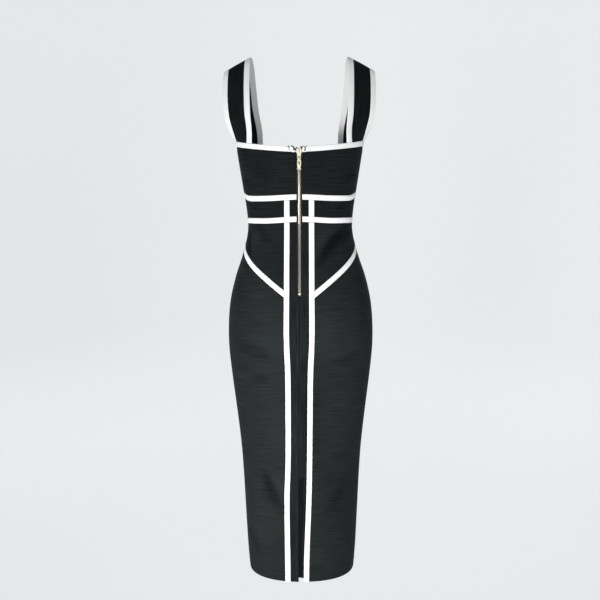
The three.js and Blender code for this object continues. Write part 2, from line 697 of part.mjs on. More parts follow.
function slider() {
  const shield = outline([
    [-SLIDER.foot, SLIDER.low],
    [SLIDER.foot, SLIDER.low],
    [SLIDER.wide, 1.5],
    [SLIDER.wide, SLIDER.top - 2],
    [SLIDER.wide - 1.8, SLIDER.top],
    [-SLIDER.wide + 1.8, SLIDER.top],
    [-SLIDER.wide, SLIDER.top - 2],
    [-SLIDER.wide, 1.5],
  ]);
  const behind = -CLOTH - 0.4;
  const face = SLIDER.clear + SLIDER.plate;
  const wedge = outline([
    [0, 4.6],
    [1.1, SLIDER.top],
    [-1.1, SLIDER.top],
  ]);
  const arch = outline([
    [face - 0.3, BAIL.low + 0.3],
    [BAIL.out - 1, BAIL.low],
    [BAIL.out, BAIL.low + 1.2],
    [BAIL.out, BAIL.top - 1.6],
    [BAIL.out - 1.2, BAIL.top - 0.3],
    [face - 0.3, BAIL.top],
  ]);
  const window = [
    [face + 0.2, BAIL.top - BAIL.bar],
    [BAIL.out - BAIL.bar - 0.8, BAIL.top - BAIL.bar - 0.3],
    [BAIL.out - BAIL.bar, BAIL.top - BAIL.bar - 1.2],
    [BAIL.out - BAIL.bar, BAIL.low + BAIL.bar + 0.6],
    [face + 0.2, BAIL.low + BAIL.bar + 0.6],
  ];
  arch.holes.push(new THREE.Path(window.map(([out, up]) => new THREE.Vector2(out, up))));
  const options = { depth: 2 * BAIL.half, bevelEnabled: false };
  const bail = new THREE.ExtrudeGeometry(arch, options).translate(0, 0, -BAIL.half);
  return fused([
    plate(shield, SLIDER.clear, face),
    plate(shield, behind - SLIDER.plate, behind),
    plate(wedge, behind - 0.2, SLIDER.clear + 0.2),
    bail.rotateY(-QUARTER_TURN),
  ]);
}

// A flat ring that hangs from the bail by its top bar.
function link() {
  const high = LINK.pivot + LINK.bar / 2;
  const shape = roundedBox(LINK.half, high - LINK.length, high, 2);
  const inside = [high - LINK.length + LINK.bar, high - LINK.bar];
  shape.holes.push(roundedBox(LINK.half - LINK.bar, inside[0], inside[1], 0.8));
  return plate(shape, LINK.out - LINK.bar / 2, LINK.out + LINK.bar / 2);
}

// The pull: an eye round the link's lower bar, a slotted plate and a rounded foot.
function pull() {
  const hinge = LINK.pivot + LINK.bar - LINK.length;
  const blade = outline([
    [-PULL.foot, PULL.end + 2],
    [PULL.foot, PULL.end + 2],
    [PULL.half, hinge - 4],
    [2.2, hinge - 1.6],
    [-2.2, hinge - 1.6],
    [-PULL.half, hinge - 4],
  ]);
  blade.holes.push(roundedBox(1, hinge - 12.5, hinge - 6.5, 0.6));
  const eye = circle(PULL.eye);
  const middle = LINK.out;
  const foot = rodAcross(circle(1.5), PULL.foot + 0.9, PULL.end + 1.5, middle);
  const halfPlate = PULL.plate / 2;
  const whole = [
    plate(blade, middle - halfPlate, middle + halfPlate),
    rodAcross(eye, PULL.eyeHalf, hinge, middle),
    foot,
  ];
  const bore = solid(rodAcross(circle(PULL.bore), PULL.eyeHalf + 1, hinge, middle));
  return geometryOf(solid(fused(whole)).subtract(bore));
}

function addHardware(name, geometry) {
  const mesh = new THREE.Mesh(geometry, GOLD);
  mesh.name = name;
  hardware.add(mesh);
}

addPair("back_bodice", backBodice, BLACK);
addPair("back_waist_side", backWaistSide, BLACK);
addPair("back_waist_centre", backWaistCentre, BLACK);
addPair("back_yoke", yoke, BLACK);
addPair("back_skirt", backSkirt, BLACK);
addPair("back_centre_strip", centreStrip, BLACK);
addPair("back_neckline_trim", backNecklineTrim, WHITE);
const backTrim = (top) => levelTrim(zipEdge, backSide, top, skin, backColumns());
addPair("back_waist_trim", () => backTrim(waistBack), WHITE);
addPair("back_lower_trim", () => backTrim(lowerBack), WHITE);
addPair("centre_trim_waist", centreTrimWaist, WHITE);
addPair("centre_trim", centreTrim, WHITE);
addPair("hip_trim", hipTrim, WHITE);
addPair("strap", () => strapStrip(trimShare + gapShare, 1 - trimShare - gapShare, 3, 0), BLACK);
addPair("strap_inner_trim", () => strapStrip(0, trimShare, 1, TRIM_PROUD), WHITE);
addPair("armhole_trim", armholeTrim, WHITE);
addPair("zip_tape", zipTape, TAPE);
addPair("zip_chain", zipChain, GOLD);

const frontWaist = cut(
  frontRight,
  frontLeft,
  raised(lowerFront, GAP),
  under(waistFront, GAP),
);
const frontSkirt = cut(frontRight, frontLeft, hemFront, under(lowerFront, GAP));
const frontTrim = (top) => levelTrim(frontRight, frontLeft, top, frontSkin, frontColumns());
add("front_bodice", frontBodice(), BLACK);
add("front_waist", cloth(frontWaist, frontColumns(), even(2), frontSkin), BLACK);
add("front_skirt", cloth(frontSkirt, even(18), even(24), frontSkin), BLACK);
add("front_neckline_trim", frontNecklineTrim(), WHITE);
add("front_waist_trim", frontTrim(waistFront), WHITE);
add("front_lower_trim", frontTrim(lowerFront), WHITE);

add("zip_stop", zipStop(), GOLD);
addHardware("zip_slider", slider());
addHardware("zip_link", link());
addHardware("zip_pull", pull());
dress.add(hardware);

export default dress;
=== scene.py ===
"""A sleeveless ribbed bodycon midi dress with white trims on its seams and a metal back zip.

The file is laid out as a Blender add-on and is run as a script. Metres, +Z up. The wearer faces
+Y, so the back with its zip faces -Y, and the wearer's right is +X. Every cloth piece is a thin
closed shell over two parameters, laid on one skin of the worn dress, so the pieces meet at their
seams. Each replaces the plain solid of the same piece.
"""

import math

import bpy
import numpy as np
from bpy.props import FloatProperty, FloatVectorProperty, PointerProperty
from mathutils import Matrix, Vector


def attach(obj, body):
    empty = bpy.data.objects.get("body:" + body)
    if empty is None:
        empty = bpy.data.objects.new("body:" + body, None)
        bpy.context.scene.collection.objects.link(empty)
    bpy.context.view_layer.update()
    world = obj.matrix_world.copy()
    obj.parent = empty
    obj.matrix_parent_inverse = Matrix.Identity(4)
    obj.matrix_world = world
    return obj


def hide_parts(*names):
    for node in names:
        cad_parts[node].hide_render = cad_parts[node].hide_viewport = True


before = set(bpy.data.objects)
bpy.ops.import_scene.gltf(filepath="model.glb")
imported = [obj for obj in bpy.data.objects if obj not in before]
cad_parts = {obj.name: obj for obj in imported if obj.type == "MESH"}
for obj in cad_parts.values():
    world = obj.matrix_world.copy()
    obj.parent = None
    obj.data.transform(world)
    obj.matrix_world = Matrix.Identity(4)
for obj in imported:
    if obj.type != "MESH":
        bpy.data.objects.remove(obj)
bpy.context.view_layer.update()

bl_info = {
    "name": "Bodycon Dress",
    "version": (1, 0, 0),
    "blender": (4, 5, 0),
    "location": "3D View > Sidebar > Dress",
    "description": "Builds a ribbed bodycon dress with contrast trims and a metal zip",
    "category": "Add Mesh",
}

BODY = "dress"

# Cloth and seams
CLOTH = 0.0016
GAP = 0.0003
SEAM = 0.00004
TRIM = 0.0118
NECK_TRIM = 0.0112
EDGE = 0.0005
SQUARENESS = 2.4


def table(names, *rows):
    """A short table as a dictionary of its named columns."""
    return dict(zip(names.split(), np.array(rows, float).T))


# Outside of the cloth at each height: half width at the side seams, depth behind and in front
SECTIONS = table(
    "z half back front",
    (-0.164, 0.1445, 0.0860, 0.0990),
    (-0.209, 0.1378, 0.0860, 0.1100),
    (-0.263, 0.1293, 0.0840, 0.1040),
    (-0.316, 0.1209, 0.0790, 0.0900),
    (-0.350, 0.1180, 0.0775, 0.0860),
    (-0.366, 0.1184, 0.0790, 0.0870),
    (-0.389, 0.1223, 0.0830, 0.0890),
    (-0.423, 0.1318, 0.0910, 0.0930),
    (-0.469, 0.1476, 0.1020, 0.0970),
    (-0.515, 0.1586, 0.1100, 0.0985),
    (-0.555, 0.1636, 0.1130, 0.0985),
    (-0.600, 0.1654, 0.1130, 0.0980),
    (-0.639, 0.1642, 0.1110, 0.0970),
    (-0.695, 0.1586, 0.1060, 0.0955),
    (-0.752, 0.1518, 0.1010, 0.0940),
    (-0.810, 0.1449, 0.0975, 0.0930),
    (-0.868, 0.1391, 0.0955, 0.0920),
    (-0.926, 0.1354, 0.0945, 0.0915),
    (-0.984, 0.1326, 0.0935, 0.0910),
    (-1.044, 0.1299, 0.0925, 0.0900),
    (-1.103, 0.1270, 0.0915, 0.0890),
    (-1.148, 0.1236, 0.0905, 0.0880),
    (-1.170, 0.1212, 0.0900, 0.0875),
)

# The two cups shaped into the front bodice, as a turn from the centre back and its spread
CUP_TURN = 144
CUP_SPREAD = 19
CUP_Z = -0.214
CUP_HEIGHT = 0.044
CUP_DEPTH = 0.010

# The trims above and below the waist band: the height of their top at the centre, how far it
# sags on the way to the side seam, and how far it then rises to the seam. The sag is whole and
# the rise starts at these shares of the way.
WAIST_TRIM = {"top": -0.286, "sag": 0.0032, "rise": 0.009}
LOWER_TRIM = {"top": -0.334, "sag": 0.0038, "rise": 0.0}
SAG_BY = 0.5
RISE_FROM = 0.66

# Levels of the hem and the necklines
HEM_CENTRE = -1.165
HEM_SIDE_RISE = 0.009
HEM_FRONT_RISE = 0.005
NECK_SIDE = -0.169
NECK_BACK_DIP = 0.0155
NECK_FRONT_DIP = 0.012

# Half ellipse of the armhole on the cloth, along the lower edge of its trim
ARMHOLE_CENTRE = 0.2035
ARMHOLE_HALF = 0.040
ARMHOLE_DROP = 0.034
ARMHOLE_TRIM = 0.014

# Hip trims, straight on the flat cloth
HIP_ALONG = 0.036
HIP_TOP = -0.492
HIP_SLOPE = 0.785
HIP_RISE = 0.015

# The centre back below the zip: how far the seam is drawn towards the wearer's right, and the
# inner edges of the centre trims, left and right of the centre line
CENTRE_BACK = table(
    "z seam left right",
    (-0.298, 0.0, 0.0215, 0.0204),
    (-0.510, 0.0, 0.0226, 0.0206),
    (-0.600, -0.0010, 0.0232, 0.0204),
    (-0.680, -0.0018, 0.0210, 0.0170),
    (-0.781, -0.0028, 0.0212, 0.0156),
    (-0.876, -0.0036, 0.0220, 0.0144),
    (-0.969, -0.0048, 0.0252, 0.0124),
    (-1.060, -0.0053, 0.0252, 0.0088),
    (-1.112, -0.0056, 0.0247, 0.0069),
    (-1.170, -0.0058, 0.0247, 0.0058),
)

# The vent: the left edge laps over, the right one reaches under it.
VENT_TOP = -0.912
VENT_UNDERLAP = 0.013
VENT_SET = 0.0023
VENT_RAMP = 0.014
VENT_FALL = 0.012
VENT_SHORT = 0.009

# Stations of the right strap: its inner and outer edge on the outside face, trims included
STRAP_WIDTH = 0.071
STRAP_CROWN = 0.0018
STRAP_STATIONS = table(
    "xi yi zi xo yo zo",
    (0.103, -0.077, -0.148, 0.1560, -0.025, -0.1480),
    (0.105, -0.083, -0.115, 0.1650, -0.041, -0.1150),
    (0.106, -0.080, -0.084, 0.1675, -0.042, -0.0840),
    (0.107, -0.063, -0.040, 0.1680, -0.033, -0.0480),
    (0.107, -0.036, 0.003, 0.1670, -0.019, -0.0215),
    (0.106, 0.000, 0.016, 0.1655, 0.000, -0.0160),
    (0.104, 0.035, 0.003, 0.1645, 0.020, -0.0220),
    (0.101, 0.061, -0.041, 0.1630, 0.034, -0.0500),
    (0.097, 0.077, -0.092, 0.1600, 0.041, -0.0940),
    (0.090, 0.088, -0.138, 0.1490, 0.039, -0.1380),
)

# The zip and its chain
ZIP_HALF = 0.006
ZIP_TOP = -0.1845
ZIP_CHAIN_END = -0.4975
ZIP_STOP_END = -0.5035
ZIP_END = -0.5075
ZIP_TAPE = 0.0012
CHAIN_HALF = 0.0025
CHAIN_UNDER = ZIP_TAPE - CLOTH + GAP
CHAIN_OVER = 0.002
SPLIT_AT = -0.193
SPLIT_BY = 0.0029

# The slider, link and pull, in a frame of their own: across, up and out from the cloth
SLIDER_Z = -0.196
LINK_OUT = 0.00535
LINK_PIVOT = -0.0054
LINK_BAR = 0.00125
LINK_HALF = 0.004
LINK_LENGTH = 0.0099
PULL_HINGE = LINK_PIVOT + LINK_BAR - LINK_LENGTH
PULL_END = -0.0375

# Lift of a trim's face over the panels, across its width, with a dip at both rows of stitches
TRIM_FACE = table(
    "share lift",
    (0.00, -0.0006),
    (0.02, 0.0000),
    (0.06, 0.0004),
    (0.14, 0.00062),
    (0.26, 0.00070),
    (0.30, 0.00050),
    (0.34, 0.00070),
    (0.50, 0.00078),
    (0.66, 0.00070),
    (0.70, 0.00050),
    (0.74, 0.00070),
    (0.86, 0.00062),
    (0.94, 0.0004),
    (0.98, 0.0000),
    (1.00, -0.0006),
)
STITCH_SHARES = (0.30, 0.70)

# Soft creases on the worn cloth, each from one point to another. The arc is along the cloth from
# the centre back, or from the centre front, towards the wearer's right. The crest runs beside
# the trough, on its upper side where positive.
BACK_CREASES = table(
    "arc0 z0 arc1 z1 wide deep crest",
    (0.112, -0.356, 0.038, -0.442, 0.0100, 0.0032, -0.5),
    (0.128, -0.366, 0.098, -0.398, 0.0060, 0.0012, 0.6),
    (-0.122, -0.362, -0.116, -0.430, 0.0075, 0.0022, 0.5),
    (-0.098, -0.352, -0.062, -0.392, 0.0080, 0.0010, -0.6),
    (-0.083, -0.905, -0.038, -0.998, 0.0130, 0.0030, 0.6),
    (0.048, -1.010, 0.104, -0.930, 0.0120, 0.0010, 0.5),
    (0.060, -0.655, 0.150, -0.628, 0.0110, 0.0012, 0.5),
    (-0.052, -0.648, -0.146, -0.618, 0.0120, 0.0014, -0.5),
    (-0.060, -0.690, -0.120, -0.708, 0.0090, 0.0008, 0.6),
    (0.118, -0.300, 0.086, -0.322, 0.0060, 0.0008, 0.6),
    (-0.124, -0.304, -0.094, -0.318, 0.0050, 0.0008, -0.6),
    (0.140, -0.240, 0.096, -0.262, 0.0090, 0.0012, 0.5),
    (-0.146, -0.246, -0.104, -0.270, 0.0090, 0.0010, 0.5),
    (-0.136, -1.040, -0.098, -1.102, 0.0110, 0.0014, 0.5),
)
FRONT_CREASES = table(
    "arc0 z0 arc1 z1 wide deep crest",
    (0.118, -0.352, 0.052, -0.396, 0.0080, 0.0018, 0.6),
    (-0.120, -0.356, -0.062, -0.388, 0.0075, 0.0015, -0.5),
    (0.126, -0.380, 0.080, -0.412, 0.0070, 0.0012, 0.5),
    (-0.104, -0.420, -0.040, -0.446, 0.0100, 0.0012, 0.5),
    (0.030, -0.274, 0.082, -0.262, 0.0060, 0.0011, 0.6),
    (-0.034, -0.276, -0.078, -0.266, 0.0055, 0.0010, 0.6),
    (0.150, -0.236, 0.112, -0.262, 0.0080, 0.0014, 0.5),
    (-0.152, -0.232, -0.116, -0.256, 0.0085, 0.0012, -0.5),
    (0.010, -0.560, 0.110, -0.520, 0.0120, 0.0015, 0.5),
    (-0.016, -0.574, -0.118, -0.532, 0.0130, 0.0017, 0.5),
    (0.022, -0.884, 0.096, -0.978, 0.0140, 0.0020, -0.5),
    (-0.030, -0.912, -0.090, -0.990, 0.0120, 0.0016, 0.6),
    (0.040, -1.060, 0.104, -1.010, 0.0110, 0.0012, 0.5),
    (-0.120, -0.660, -0.160, -0.620, 0.0100, 0.0010, 0.5),
)
# Depth of a crease at which the painted shade on the knit is at its darkest
PAINTED_SHADE_DEPTH = 0.003
# Painted shade on each part's knit against the skirt, where 1 is as dark as a full crease: the straps and
# upper parts are painted darker, as less light falls on them
PAINTED_SHADE_BY_PART = {
    "bodice": 0.44,
    "waist": 0.58,
    "yoke": 0.24,
    "strip": 0.45,
    "skirt": 0.0,
    "strap": 0.85,
}
# Broad soft hollows and swells that keep the panels from lying mathematically even
SWELLS = table(
    "turn z wide tall deep",
    (24, -0.600, 22, 0.060, 0.0014),
    (-26, -0.612, 20, 0.070, 0.0012),
    (12, -0.780, 16, 0.080, -0.0012),
    (-20, -0.830, 24, 0.060, 0.0010),
    (40, -0.960, 20, 0.070, -0.0010),
    (-48, -1.010, 22, 0.080, 0.0010),
    (70, -0.480, 14, 0.060, -0.0008),
    (-74, -0.470, 16, 0.050, -0.0010),
    (168, -0.470, 20, 0.060, 0.0018),
    (-150, -0.700, 26, 0.080, 0.0010),
    (150, -0.820, 24, 0.070, -0.0012),
    (178, -0.960, 22, 0.090, 0.0014),
    (-120, -1.040, 20, 0.070, 0.0010),
)


def ramp(value, start, end):
    """0 before start and 1 after end, with a smooth rise between: 3 t squared less 2 t cubed."""
    t = np.clip((value - start) / (end - start), 0.0, 1.0)
    return t * t * (3 - 2 * t)


def lerp(a, b, t):
    """The point a share t of the way from a to b."""
    return a + (b - a) * t


def read(columns, name, z):
    """A column at heights z, on cubics whose slope at each row is that of its neighbours' chord."""
    heights, values = columns["z"], columns[name]
    before = np.maximum(np.arange(len(heights)) - 1, 0)
    after = np.minimum(np.arange(len(heights)) + 1, len(heights) - 1)
    slopes = (values[after] - values[before]) / (heights[after] - heights[before])
    level = np.clip(z, heights[-1], heights[0])
    row = np.clip(np.searchsorted(-heights, -level) - 1, 0, len(heights) - 2)
    span = heights[row + 1] - heights[row]
    t = (level - heights[row]) / span
    start = (1 + 2 * t) * (1 - t) ** 2 * values[row] + t * (1 - t) ** 2 * span * slopes[row]
    return start + t * t * (3 - 2 * t) * values[row + 1] + t * t * (t - 1) * span * slopes[row + 1]


def radius(turn, z):
    """Distance from the vertical axis to the cloth: a squared-off ellipse with two soft cups.

    The turn goes from the centre back towards the wearer's right. The ellipse's exponent is
    SQUARENESS, and each cup adds a bell curve over turn and height.
    """
    turn = np.abs((turn + math.pi) % (2 * math.pi) - math.pi)
    behind = np.cos(turn) > 0
    depth = np.where(behind, read(SECTIONS, "back", z), read(SECTIONS, "front", z))
    across = (np.abs(np.sin(turn)) / read(SECTIONS, "half", z)) ** SQUARENESS
    along = (np.abs(np.cos(turn)) / depth) ** SQUARENESS
    aside = (np.degrees(turn) - CUP_TURN) / CUP_SPREAD
    above = (z - CUP_Z) / CUP_HEIGHT
    return (across + along) ** (-1 / SQUARENESS) + CUP_DEPTH * np.exp(-(aside**2) - above**2)


LEVEL_STEP = 0.002
LEVELS = np.arange(-1.182, -0.150, LEVEL_STEP)
TURNS = np.linspace(0, math.pi, 181)
SHARES = np.linspace(0, 1, 361)


def measure_skin():
    """Arc lengths round every level, by adding up chords, turned into the turn at even shares."""
    r = radius(TURNS, LEVELS[:, None])
    chords = np.hypot(np.diff(r * np.sin(TURNS)), np.diff(r * np.cos(TURNS)))
    arcs = np.concatenate([np.zeros((len(LEVELS), 1)), np.cumsum(chords, axis=1)], axis=1)
    turns = np.stack([np.interp(SHARES * row[-1], row, TURNS) for row in arcs])
    return arcs[:, -1], arcs[:, len(TURNS) // 2], turns


HALF_GIRTHS, SIDE_SEAMS, TURN_AT_SHARE = measure_skin()


def half_girth(z):
    """Arc from the centre back to the centre front."""
    return np.interp(z, LEVELS, HALF_GIRTHS)


def side_seam(z):
    """Arc from the centre back to the side seam."""
    return np.interp(z, LEVELS, SIDE_SEAMS)


def side_from_front(z):
    """Arc from the centre front to the side seam."""
    return half_girth(z) - side_seam(z)


def turn_at(arc, z):
    """The turn at a signed arc and a height, between the nearest levels and shares."""
    down = np.clip((z - LEVELS[0]) / LEVEL_STEP, 0, len(LEVELS) - 1.001)
    along = np.clip(np.abs(arc) / half_girth(z), 0, 1) * (len(SHARES) - 1.001)
    i, j = down.astype(int), along.astype(int)
    s, t = down - i, along - j
    lower = lerp(TURN_AT_SHARE[i, j], TURN_AT_SHARE[i, j + 1], t)
    upper = lerp(TURN_AT_SHARE[i + 1, j], TURN_AT_SHARE[i + 1, j + 1], t)
    return np.sign(arc) * lerp(lower, upper, s)


def crease_lift(creases, arc, z):
    """Soft troughs with a crest beside each: bells across the line, faded out at its ends.

    Across the line the depth is a bell curve, and the crest is a second bell one and a half
    widths away. The line bows a little, and its width grows towards the middle.
    """
    total = np.zeros(np.broadcast(arc, z).shape)
    for arc0, z0, arc1, z1, wide, deep, crest in zip(*creases.values()):
        length = math.hypot(arc1 - arc0, z1 - z0)
        along_x, along_z = (arc1 - arc0) / length, (z1 - z0) / length
        share = ((arc - arc0) * along_x + (z - z0) * along_z) / length
        aside = (z - z0) * along_x - (arc - arc0) * along_z
        aside = aside + 0.06 * length * np.sin(math.pi * np.clip(share, 0, 1))
        spread = wide * (0.7 + 0.6 * np.sin(math.pi * np.clip(share, 0, 1)))
        fade = ramp(share, -0.15, 0.35) * ramp(1 - share, -0.2, 0.45)
        side = np.sign(crest) * 1.5 * spread
        bell = np.exp(-((aside / spread) ** 2))
        bank = abs(crest) * np.exp(-(((aside - side) / spread) ** 2))
        total = total + deep * fade * (bank - bell)
    return total


def relief(arc, z):
    """How far the cloth stands over its even form, from the creases and the broad swells."""
    girth = half_girth(z)
    from_front = np.where(arc > 0, arc - girth, arc + girth)
    total = crease_lift(BACK_CREASES, arc, z) + crease_lift(FRONT_CREASES, -from_front, z)
    turn = np.degrees(turn_at(arc, z))
    for middle, level, wide, tall, deep in zip(*SWELLS.values()):
        away = (turn - middle + 180) % 360 - 180
        total = total + deep * np.exp(-((away / wide) ** 2) - ((z - level) / tall) ** 2)
    by_the_zip = ramp(np.abs(arc), 0.008, 0.030) + ramp(ZIP_END - 0.02 - z, 0, 0.06)
    return total * np.clip(by_the_zip, 0, 1) * ramp(-0.2 - z, 0, 0.03)


def skin(arc, z, lift=0.0):
    """Points of the worn cloth at signed arcs from the centre back and at heights.

    Each is at the radius of its turn and height, moved out along the normal by the lift and the
    relief there. The normal comes from the radius's slopes over turn and height.
    """
    arc, z = np.broadcast_arrays(arc, z)
    girth = half_girth(z)
    wrapped = (arc + girth) % (2 * girth) - girth
    turn = turn_at(wrapped, z)
    r = radius(turn, z)
    turned = (radius(turn + 0.002, z) - radius(turn - 0.002, z)) / 0.004 / r
    risen = (radius(turn, z + 0.0005) - radius(turn, z - 0.0005)) / 0.001
    s, c = np.sin(turn), np.cos(turn)
    normal = np.stack([s - turned * c, -c - turned * s, -risen], axis=-1)
    normal /= np.linalg.norm(normal, axis=-1, keepdims=True)
    out = (lift + relief(wrapped, z))[..., None]
    return np.stack([r * s, -r * c, z], axis=-1) + out * normal


def front_skin(arc, z, lift=0.0):
    """The same for the front: the arc is from the centre front, positive towards the left."""
    return skin(arc + half_girth(z), z, lift)


def cut(inner, outer, low, high):
    """A piece on the flat cloth between two edges along the height and two across it.

    inner(z) and outer(z) give arcs, low(arc) and high(arc) give heights. Its corners are where
    they cross, and the result gives the arc and height at shares u and v between them.
    """

    def corner(edge, level):
        z = level(edge(-0.4))
        for _ in range(40):
            z = level(edge(z))
        return z

    z00, z10 = corner(inner, low), corner(outer, low)
    z01, z11 = corner(inner, high), corner(outer, high)
    a00, a10, a01, a11 = inner(z00), outer(z10), inner(z01), outer(z11)

    def pattern(u, v):
        below, above = lerp(a00, a10, u), lerp(a01, a11, u)
        near, far = lerp(z00, z01, v), lerp(z10, z11, v)
        return lerp(inner(near), outer(far), u), lerp(low(below), high(above), v)

    return pattern


def constant(value):
    """A seam line that stays at one arc or height."""
    return lambda x: value + 0 * x


def moved(line, by):
    """A seam line moved up, or outwards from the centre."""
    return lambda x: line(x) + by


def neck_back(arc):
    """Top of the back: it dips towards the zip with the share of the way to the power 1.5."""
    share = np.minimum(np.abs(arc) / (ARMHOLE_CENTRE - ARMHOLE_HALF), 1)
    return NECK_SIDE - NECK_BACK_DIP * (1 - share**1.5)


def neck_front(arc):
    """Top of the front: a parabola that dips towards the centre front."""
    reach = half_girth(NECK_SIDE) - ARMHOLE_CENTRE - ARMHOLE_HALF
    share = np.minimum(np.abs(arc) / reach, 1)
    return NECK_SIDE - NECK_FRONT_DIP * (1 - share**2)


def armhole_edge(turn, out):
    """Arc and height on the half ellipse below the strap, some way out from the trim's edge."""
    arc = ARMHOLE_CENTRE - (ARMHOLE_HALF + out) * np.cos(turn)
    return arc, NECK_SIDE - (ARMHOLE_DROP + out) * np.sin(turn)


def armhole_level(arc, out):
    """Height of that edge at a given arc."""
    across = np.minimum(np.abs(arc - ARMHOLE_CENTRE) / (ARMHOLE_HALF + out), 1)
    return NECK_SIDE - (ARMHOLE_DROP + out) * np.sqrt(1 - across**2)


def hip_top(arc):
    """Upper edge of the hip trim."""
    return HIP_TOP + HIP_SLOPE * (arc - HIP_ALONG)


def hip_low(arc):
    """Lower edge of the hip trim."""
    return hip_top(arc) - HIP_RISE


def hem_back(arc):
    """Back hem: it rises to the side seams with the square of the arc."""
    return HEM_CENTRE + HEM_SIDE_RISE * (arc / side_seam(HEM_CENTRE)) ** 2


def hem_front(arc):
    """Front hem, a little shorter than the back one."""
    share = (arc / side_from_front(HEM_CENTRE)) ** 2
    return HEM_CENTRE + lerp(HEM_FRONT_RISE, HEM_SIDE_RISE, share)


def centre_inner(side):
    """Inner edge of a centre trim."""
    return lambda z: read(CENTRE_BACK, side, z)


def centre_outer(side):
    """Outer edge of a centre trim."""
    return moved(centre_inner(side), TRIM)


def back_side(z):
    """The back's edge at the side seam."""
    return side_seam(z) - SEAM / 2


def front_left(z):
    """The front's edge at the left side seam."""
    return side_from_front(z) - SEAM / 2


def front_right(z):
    """The front's edge at the right side seam."""
    return -front_left(z)


def bowed(span, top, sag, rise):
    """Top of a level trim: smooth rises take it down by the sag, then up at the side seam."""

    def line(arc):
        share = np.abs(arc) / span(top)
        return top - sag * ramp(share, 0, SAG_BY) + rise * ramp(share, RISE_FROM, 1)

    return line


def under(line, by=0.0):
    """The lower edge of a trim, or a seam line a little below that."""
    return moved(line, -TRIM - by)


WAIST_BACK = bowed(side_seam, **WAIST_TRIM)
WAIST_FRONT = bowed(side_from_front, **WAIST_TRIM)
LOWER_BACK = bowed(side_seam, **LOWER_TRIM)
LOWER_FRONT = bowed(side_from_front, **LOWER_TRIM)
ZIP_EDGE = constant(ZIP_HALF + GAP)
NECK_TURN = math.asin(NECK_TRIM / ARMHOLE_DROP)


def shares_along(length, step):
    """Shares of a length at even steps, with three more close to each end for its round edge."""
    even = np.linspace(0, 1, max(2, round(length / step)) + 1)
    close = np.array([0.2, 0.5, 1.0]) * EDGE / length
    return np.unique(np.round(np.concatenate([even, close, 1 - close]), 6))


def round_edge(*distances):
    """0.2 at an edge and 1 past EDGE from it, on a quarter circle."""
    near = np.minimum.reduce(np.broadcast_arrays(*distances))
    x = 1 - np.clip(near / EDGE, 0, 1)
    return 0.2 + 0.8 * np.sqrt(1 - x * x)


def grid_faces(rows, columns, loop_rows=False, loop_columns=False):
    """Quads of a grid of points numbered row by row, each wound with the column going first."""
    j = np.arange(rows if loop_rows else rows - 1)[:, None]
    i = np.arange(columns if loop_columns else columns - 1)[None, :]
    j2, i2 = (j + 1) % rows, (i + 1) % columns
    quads = [j * columns + i, j * columns + i2, j2 * columns + i2, j2 * columns + i]
    return np.stack(np.broadcast_arrays(*quads), axis=-1).reshape(-1, 4)


def rim_faces(rows, columns, loop):
    """Quads that join the edge of an outer grid to that of the inner grid numbered after it.

    The walks go round the grid. Where its rows close on themselves, they go along both sides.
    """
    inner = rows * columns
    bottom = np.arange(columns)
    right = np.arange(rows) * columns + columns - 1
    top = (rows - 1) * columns + np.arange(columns)[::-1]
    left = np.arange(rows)[::-1] * columns
    walks = [bottom, right, top, left]
    if loop:
        walks = [np.append(right, right[0]), np.append(left[-1], left)]
    walk = [np.stack([w[1:], w[:-1], w[:-1] + inner, w[1:] + inner], axis=-1) for w in walks]
    return np.concatenate(walk)


def ring_stack(rings):
    """Points and faces of one closed body from rings of points in order, capped at both ends."""
    rows, columns = rings.shape[:2]
    faces = grid_faces(rows, columns, loop_columns=True).tolist()
    caps = [list(range(columns))[::-1], list(range((rows - 1) * columns, rows * columns))]
    return rings.reshape(-1, 3), faces + caps


def add_piece(name, points, faces, uv=None, body=BODY, replaces=(), material=None):
    """Puts points, a list of faces and each point's flat coordinates into a mesh on its body."""
    mesh = bpy.data.meshes.new(name)
    mesh.from_pydata(points.reshape(-1, 3).tolist(), [], faces)
    if uv is not None:
        corners = np.zeros(len(mesh.loops), np.int32)
        mesh.loops.foreach_get("vertex_index", corners)
        layer = mesh.uv_layers.new(name="flat")
        layer.data.foreach_set("uv", uv.reshape(-1, 2)[corners].astype(np.float32).ravel())
    mesh.polygons.foreach_set("use_smooth", np.ones(len(mesh.polygons), bool))
    mesh.update()
    piece = bpy.data.objects.new(name, mesh)
    bpy.context.scene.collection.objects.link(piece)
    if material is not None:
        mesh.materials.append(material)
    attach(piece, body)
    if replaces:
        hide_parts(*replaces)
    return piece


def flat_size(points):
    """Width, length and area of one face of a grid, measured over its chords and its quads."""
    across = np.linalg.norm(np.diff(points, axis=1), axis=-1).sum(axis=1).max()
    along = np.linalg.norm(np.diff(points, axis=0), axis=-1).sum(axis=0).max()
    a, b = points[1:, 1:] - points[:-1, :-1], points[1:, :-1] - points[:-1, 1:]
    return across, along, np.linalg.norm(np.cross(a, b), axis=-1).sum() / 2


def closed_shell(outer, inner, uv, loop=False):
    """Points, faces and flat coordinates of a thin closed shell with an outer and inner grid."""
    rows, columns = outer.shape[:2]
    faces = grid_faces(rows, columns, loop_rows=loop)
    inside = faces[:, ::-1] + rows * columns
    every = np.concatenate([faces, inside, rim_faces(rows, columns, loop)])
    points = np.concatenate([outer.reshape(-1, 3), inner.reshape(-1, 3)])
    return points, every, np.concatenate([uv.reshape(-1, 2), uv.reshape(-1, 2)])


